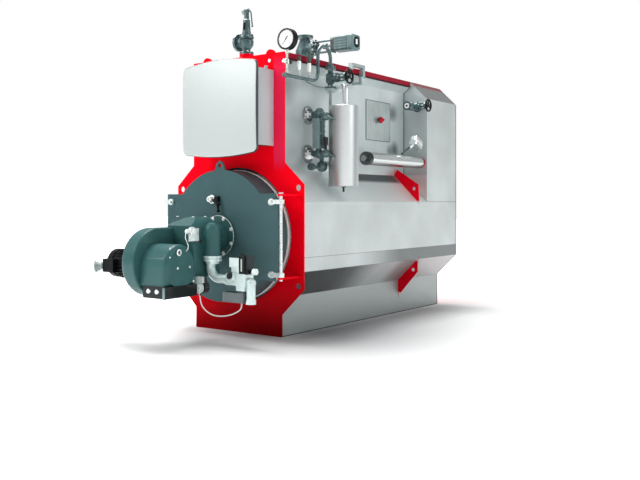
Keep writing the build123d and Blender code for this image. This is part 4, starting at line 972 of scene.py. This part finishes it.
def on_dial(name, mesh, x=0.0, y=0.0):
    """Lay a mesh drawn flat in X and Y onto the dial, facing the burner side."""
    mesh.transform(Matrix.Translation((x, y, print_lift)))
    mesh.transform(Matrix.Translation(dial_at) @ Matrix.Rotation(math.radians(90), 4, "X"))
    finished(name, mesh, "boiler", ink)


def needle(bm):
    angle = math.radians(232)
    tip = Vector((math.cos(angle), 0, math.sin(angle)))
    side = Vector((-math.sin(angle), 0, math.cos(angle)))
    hub = Vector((gauge_at[0], dial_y - 0.0022, gauge_at[2]))
    tail = hub - tip * 0.026
    flat = [tail + side * 0.0055, tail - side * 0.0055, hub + tip * 0.056]
    prism(bm, flat, [p + Vector((0, -0.0008, 0)) for p in flat])
    turn_shape(
        bm, hub + Vector((0, 0.0020, 0)), out_y,
        [(0, 0.0055), (0.0042, 0.0055), (0.005, 0.004)], 20)


def pressure_dial():
    turned(
        "dial_plate", "boiler", dial_white, "seat_white", dial_at, out_y,
        [(-0.0003, dial_r), (0.0008, dial_r)], 48)
    turned(
        "dial_bezel", "boiler", ink, "black", dial_at, out_y,
        [(0.0, 0.0725), (0.0046, 0.0725), (0.0046, 0.0670), (0.0, 0.0650)], 48, True)
    tree = mark_tree()
    for name, count, length, width in (
        ("dial_marks_long", 9, 0.0125, 0.0016), ("dial_marks_short", 41, 0.007, 0.0008),
    ):
        on_dial(name, grown(name, bpy.data.meshes.new(name + "_empty"), tree, {
            "Count": count, "Radius": mark_r, "Start": dial_start, "Sweep": dial_sweep,
            "Length": length, "Width": width, "Height": 0.0006, "Finish": ink,
        }))
    for k in range(0, 9, 2):
        angle = dial_start + dial_sweep * k / 8
        words = bpy.data.curves.new("number", "FONT")
        words.body = str(k * 2)
        words.size = 0.0135
        words.align_x = "CENTER"
        words.align_y = "CENTER"
        words.extrude = 0.0003
        on_dial(
            "dial_number_%d" % k, plain_mesh(placed("number", words)),
            number_r * math.cos(angle), number_r * math.sin(angle))
    make("dial_needle", "boiler", ink, needle)


pressure_dial()

# Level gauge: two glass windows in the slot, clamp screws along both sides
boxes("gauge_window", "boiler", glass, [
    ((0.522, -0.912, low), (0.5325, -0.896, high))
    for low, high in ((1.452, 1.546), (1.564, 1.659))
], 0.002)
clamp_rows = [
    ((0.534, y, 1.460 + k * 0.038), east, 0.0058) for k in range(6) for y in (-0.944, -0.864)
]
screws("gauge_clamp_screws", "boiler", gauge_paint, clamp_rows)

# Screws of the cocks: rosettes on the recess wall, bright caps in front
rosette_rows = []
cap_rows = []
for z in cock_heights:
    for at in circle((rosette_x, cock_y, z), east, 0.066, 6, 20):
        if abs(at[1] - cock_y) > 0.02:
            rosette_rows.append((at, east, 0.007))
    cap_rows += [(at, out_y, 0.0055) for at in circle((cap_x, -0.9645, z), out_y, 0.022, 4, 45)]
screws("rosette_screws", "boiler", zinc, rosette_rows)
screws("cap_screws", "boiler", ink, cap_rows, height=0.5, washer=1.2)

# White hexagon cap in front of the lower cock
turned(
    "cock_cap", "boiler", cap_white, "bright_steel", (0.470, -0.930, 1.368), out_y,
    [(0, 0.010), (0.040, 0.010), (0.040, 0.0185), (0.076, 0.0185), (0.080, 0.014)], 6)

# Burner: sight glass and bare plate on the hood, screws, plugs, clips of the tray
hood_x = 0.190
turned(
    "burner_sight_ring", "burner_door", zinc, "bright_steel",
    (hood_x, front - 0.851, 0.669), east, [
        (0, 0.023), (0.006, 0.023), (0.009, 0.020), (0.009, 0.015), (0.003, 0.014),
        (0.003, 0.0001),
    ], 28)
turned(
    "burner_sight_glass", "burner_door", glass, "black", (0.193, front - 0.851, 0.669), east,
    [(0, 0.0138), (0.0025, 0.0138), (0.004, 0.009), (0.0045, 0.0001)], 24)


def hood_plate(bm):
    at = Vector((hood_x, front - 0.786, 0.598))
    rim = [(0.050, 0), (0.0, 0.030), (-0.050, 0), (0.0, -0.030)]
    prism(
        bm, [at + Vector((0, y, z)) for y, z in rim],
        [at + Vector((0.0022, y * 0.96, z * 0.95)) for y, z in rim])


make("hood_plate", "burner_door", green, hood_plate)
screws("frame_screw", "boiler", zinc, [
    ((0.321, front, 2.095), out_y, 0.0085),
], count=12, height=0.5)
flange_rows = [(at, out_y, 0.0105) for at in circle((0, flange_y, axis_z), out_y, 0.140, 8, 22.5)]
screws("flange_screws", "burner_door", zinc, flange_rows)
hood_rows = [((hood_x, front - y, z), east, radius) for y, z, radius in (
    (0.860, 0.562, 0.0062), (0.739, 0.564, 0.0062), (0.702, 0.462, 0.0062),
    (0.935, 0.700, 0.0050), (0.935, 0.640, 0.0045),
)]
head_rows = [((x, front - y, 0.910), up, 0.0085) for x, y in (
    (-0.100, 0.560), (0.100, 0.480), (0.100, 0.610),
)]
screws(
    "burner_screws", "burner_door", zinc, hood_rows + head_rows,
    count=10, height=0.6, washer=1.25)
plug_rows = [((0.150, front - y, 0.737), east, 0.012) for y in (0.644, 0.591, 0.536)]
screws(
    "burner_plugs", "burner_door", ink, plug_rows, count=12, height=0.35, washer=1.15)


def tray_clips(bm):
    for x in (0.030, 0.110):
        turn_shape(
            bm, (x, -2.272, 0.405), out_y,
            [(0, 0.016), (0.010, 0.016), (0.016, 0.010), (0.018, 0.0001)], 14)
        block(bm, (x - 0.006, -2.290, 0.398), (x + 0.026, -2.278, 0.414), 0.003)


make("tray_clips", "burner_door", zinc, tray_clips)
boxes("tray_corner", "burner_door", gauge_paint, [
    ((0.168, -2.282, 0.354), (0.190, -2.268, 0.434)),
], 0.002)


def motor_ribs():
    mesh = grown("motor_ribs", bpy.data.meshes.new("motor_ribs_empty"), rib_tree(), {
        "Count": 26, "Radius": 0.101, "Length": 0.150, "Height": 0.016, "Thickness": 0.004,
        "Finish": black,
    })
    turn = Matrix.Rotation(math.radians(90), 4, "Y")
    mesh.transform(Matrix.Translation((-0.335, -2.096, 0.568)) @ turn)
    finished("motor_ribs", mesh, "burner_door", black)


motor_ribs()

# Screws of the valve flanges
valve_rows = []
for centre, direction, ring, count, radius in (
    ((0.150, -0.590, 2.1725), up, 0.060, 8, 0.008), ((0.262, -0.590, 2.305), east, 0.055, 8, 0.007),
    ((-0.110, -1.046, 2.240), up, 0.046, 6, 0.008), ((-0.110, -1.046, 2.368), up, 0.051, 6, 0.0065),
    ((0.512, -0.747, 1.941), up, 0.034, 4, 0.0065), ((0.512, -0.747, 2.074), up, 0.034, 4, 0.0065),
):
    valve_rows += [(at, direction, radius) for at in circle(centre, direction, ring, count, 22)]
screws("valve_screws", "boiler", zinc, valve_rows)

# Machined face and bore of the feed valve's open flange
feed_at = (0.545, 0.462, 1.900)
turned(
    "feed_flange_face", "boiler", zinc, "bright_steel", feed_at, out_y,
    [(-0.001, 0.024), (0.002, 0.024), (0.003, 0.022), (0.003, 0.0105), (-0.001, 0.010)], 24)
turned(
    "feed_flange_bore", "boiler", ink, "black", feed_at, out_y,
    [(-0.001, 0.0102), (0.0008, 0.0102), (0.001, 0.0001)], 20)

# End plate of the actuator and its window
boxes("actuator_window", "boiler", zinc, [
    ((0.6590, -0.606, 2.288), (0.6628, -0.576, 2.330)),
], 0.0015)
turned(
    "actuator_end", "boiler", black, "black", (0.6590, -0.590, 2.306), east,
    [(0, 0.044), (0.0022, 0.044), (0.003, 0.040), (0.003, 0.0001)], 28)

# Bare machined edge round the burner flange
turned(
    "flange_rim", "burner_door", zinc, "bright_steel", (0, flange_y, axis_z), out_y,
    [(-0.001, 0.1570), (0.0020, 0.1560), (0.0020, 0.1535), (-0.001, 0.1530)], 64, True)

# Sight port of the door: bright tube, black lever
turned(
    "port_tube", "burner_door", zinc, "bright_steel", (-0.079, -1.500, 1.040), out_y, [
        (0, 0.034), (0.006, 0.034), (0.006, 0.022), (0.040, 0.022), (0.044, 0.019),
        (0.044, 0.013), (0.030, 0.012), (0.030, 0.0001),
    ], 24)


def port_lever(bm):
    knee, end = (0.004, -1.528, 1.000), (0.010, -1.532, 0.952)
    bar(bm, (-0.050, -1.522, 1.034), knee, 0.011)
    ball(bm, knee, 0.017)
    bar(bm, knee, end, 0.009)
    ball(bm, end, 0.014)
    block(bm, (-0.036, -1.530, 1.020), (0.004, -1.502, 1.062), 0.004)


make("port_lever", "burner_door", black, port_lever)

# Thin rigid lines: from the air switch to the hood, and along the top of the recess
for name, body, mat, slot, radius, points in (
    ("switch_line", "burner_door", zinc, "bright_steel", 0.0026, [
        (0.1800, -2.040, 0.805), (0.1950, -2.072, 0.812), (0.2050, -2.092, 0.800),
        (0.2050, -2.098, 0.770), (0.2040, -2.075, 0.735), (0.2030, -2.062, 0.708),
        (0.1980, -2.066, 0.685), (0.1880, -2.070, 0.676),
    ]),
    ("impulse_line", "boiler", cast, "cast_grey", 0.0030, [
        (0.4000, -0.930, 1.972), (0.4120, -0.893, 1.959), (0.4150, -0.781, 1.9435),
        (0.4150, -0.640, 1.955), (0.4150, -0.502, 1.978), (0.4150, -0.340, 2.000),
        (0.4150, -0.300, 2.020),
    ]),
):
    finished(name, plain_mesh(round_line(name, points, radius, 8, 3)), body, mat)


# Floor: painted shadow, grey near the boiler and dark under its fittings side; white far away
def floor():
    mesh = bpy.data.meshes.new("floor")
    s = 40
    mesh.from_pydata([(-s, -s, 0), (s, -s, 0), (s, s, 0), (-s, s, 0)], [], [(0, 1, 2, 3)])
    obj = placed("floor", mesh)
    f = Finish("floor", specular=0.0)
    f.base((0.93, 0.93, 0.93), 0.01, 0.6)
    # an oval of shade, 1.35 m wide and 1.6 m deep either way of its middle
    wide = f.times(f.math("ADD", f.along("X"), -0.80), 1 / 1.35)
    deep = f.times(f.math("ADD", f.along("Y"), 1.10), 1 / 1.60)
    away = f.math("SQRT", f.math("ADD", f.math("POWER", wide, 2.0), f.math("POWER", deep, 2.0)))
    f.lay(f.spread(away, 0.70, 0.0, 0.0, 1.15), (0.20, 0.21, 0.22))
    # painted contact shadow along the foot on the fittings side
    foot = f.both(f.within("X", 0.30, 0.80, 0.26), f.within("Y", -1.25, 1.15, 0.30))
    f.lay(foot, (0.05, 0.055, 0.06), 0.6)
    obj.data.materials.append(f.done((0.9, 1.0, 3.0)))
    # the far floor fades into the white of the studio
    run = f.node("ShaderNodeVectorMath", operation="LENGTH")
    f.feed(run.inputs[0], f.place)
    f.shader.inputs["Emission Color"].default_value = (1, 1, 1, 1)
    f.feed(f.shader.inputs["Emission Strength"], f.spread(run.outputs["Value"], 0.0, 1.0, 2.2, 5.5))


floor()


# Wide soft lamps: weak ones in front on the left and at the side, the main one overhead
def area(name, at, to, size, power):
    data = bpy.data.lights.new(name, "AREA")
    data.shape = "RECTANGLE"
    data.size, data.size_y = size, size
    data.energy = power
    obj = placed(name, data)
    obj.location = at
    obj.rotation_euler = (Vector(to) - Vector(at)).to_track_quat("-Z", "Y").to_euler()


area("front_left", (-3.0, -6.0, 4.5), (0, -1.0, 1.1), 3.0, 180)
area("side", (6.5, 0.5, 4.2), (0.5, 0, 1), 3.5, 110)
area("left_top", (-1.5, -0.2, 6.6), (0.1, 0, 0.5), 4.2, 720)


def studio():
    """White to the camera; for light and reflections darker towards the camera's side."""
    world = bpy.data.worlds.new("studio")
    bpy.context.scene.world = world
    world.use_nodes = True
    tree = world.node_tree
    back = tree.nodes["Background"]
    seen = tree.nodes.new("ShaderNodeLightPath")
    place = tree.nodes.new("ShaderNodeTexCoord")
    dark = tree.nodes.new("ShaderNodeVectorMath")
    dark.operation = "DOT_PRODUCT"
    dark.inputs[1].default_value = (0.55, -0.83, 0.05)
    tree.links.new(place.outputs["Generated"], dark.inputs[0])
    ramp = tree.nodes.new("ShaderNodeValToRGB")
    fill_ramp(ramp.color_ramp, [
        (0.0, 0.52), (0.35, 0.66), (0.70, 0.58), (0.88, 0.30), (1.0, 0.24),
    ])
    tree.links.new(dark.outputs["Value"], ramp.inputs[0])
    pick = tree.nodes.new("ShaderNodeMix")
    pick.data_type = "RGBA"
    tree.links.new(seen.outputs["Is Camera Ray"], pick.inputs[0])
    tree.links.new(ramp.outputs[0], pick.inputs[6])
    pick.inputs[7].default_value = (1, 1, 1, 1)
    tree.links.new(pick.outputs[2], back.inputs["Color"])
    back.inputs["Strength"].default_value = 1.0


studio()
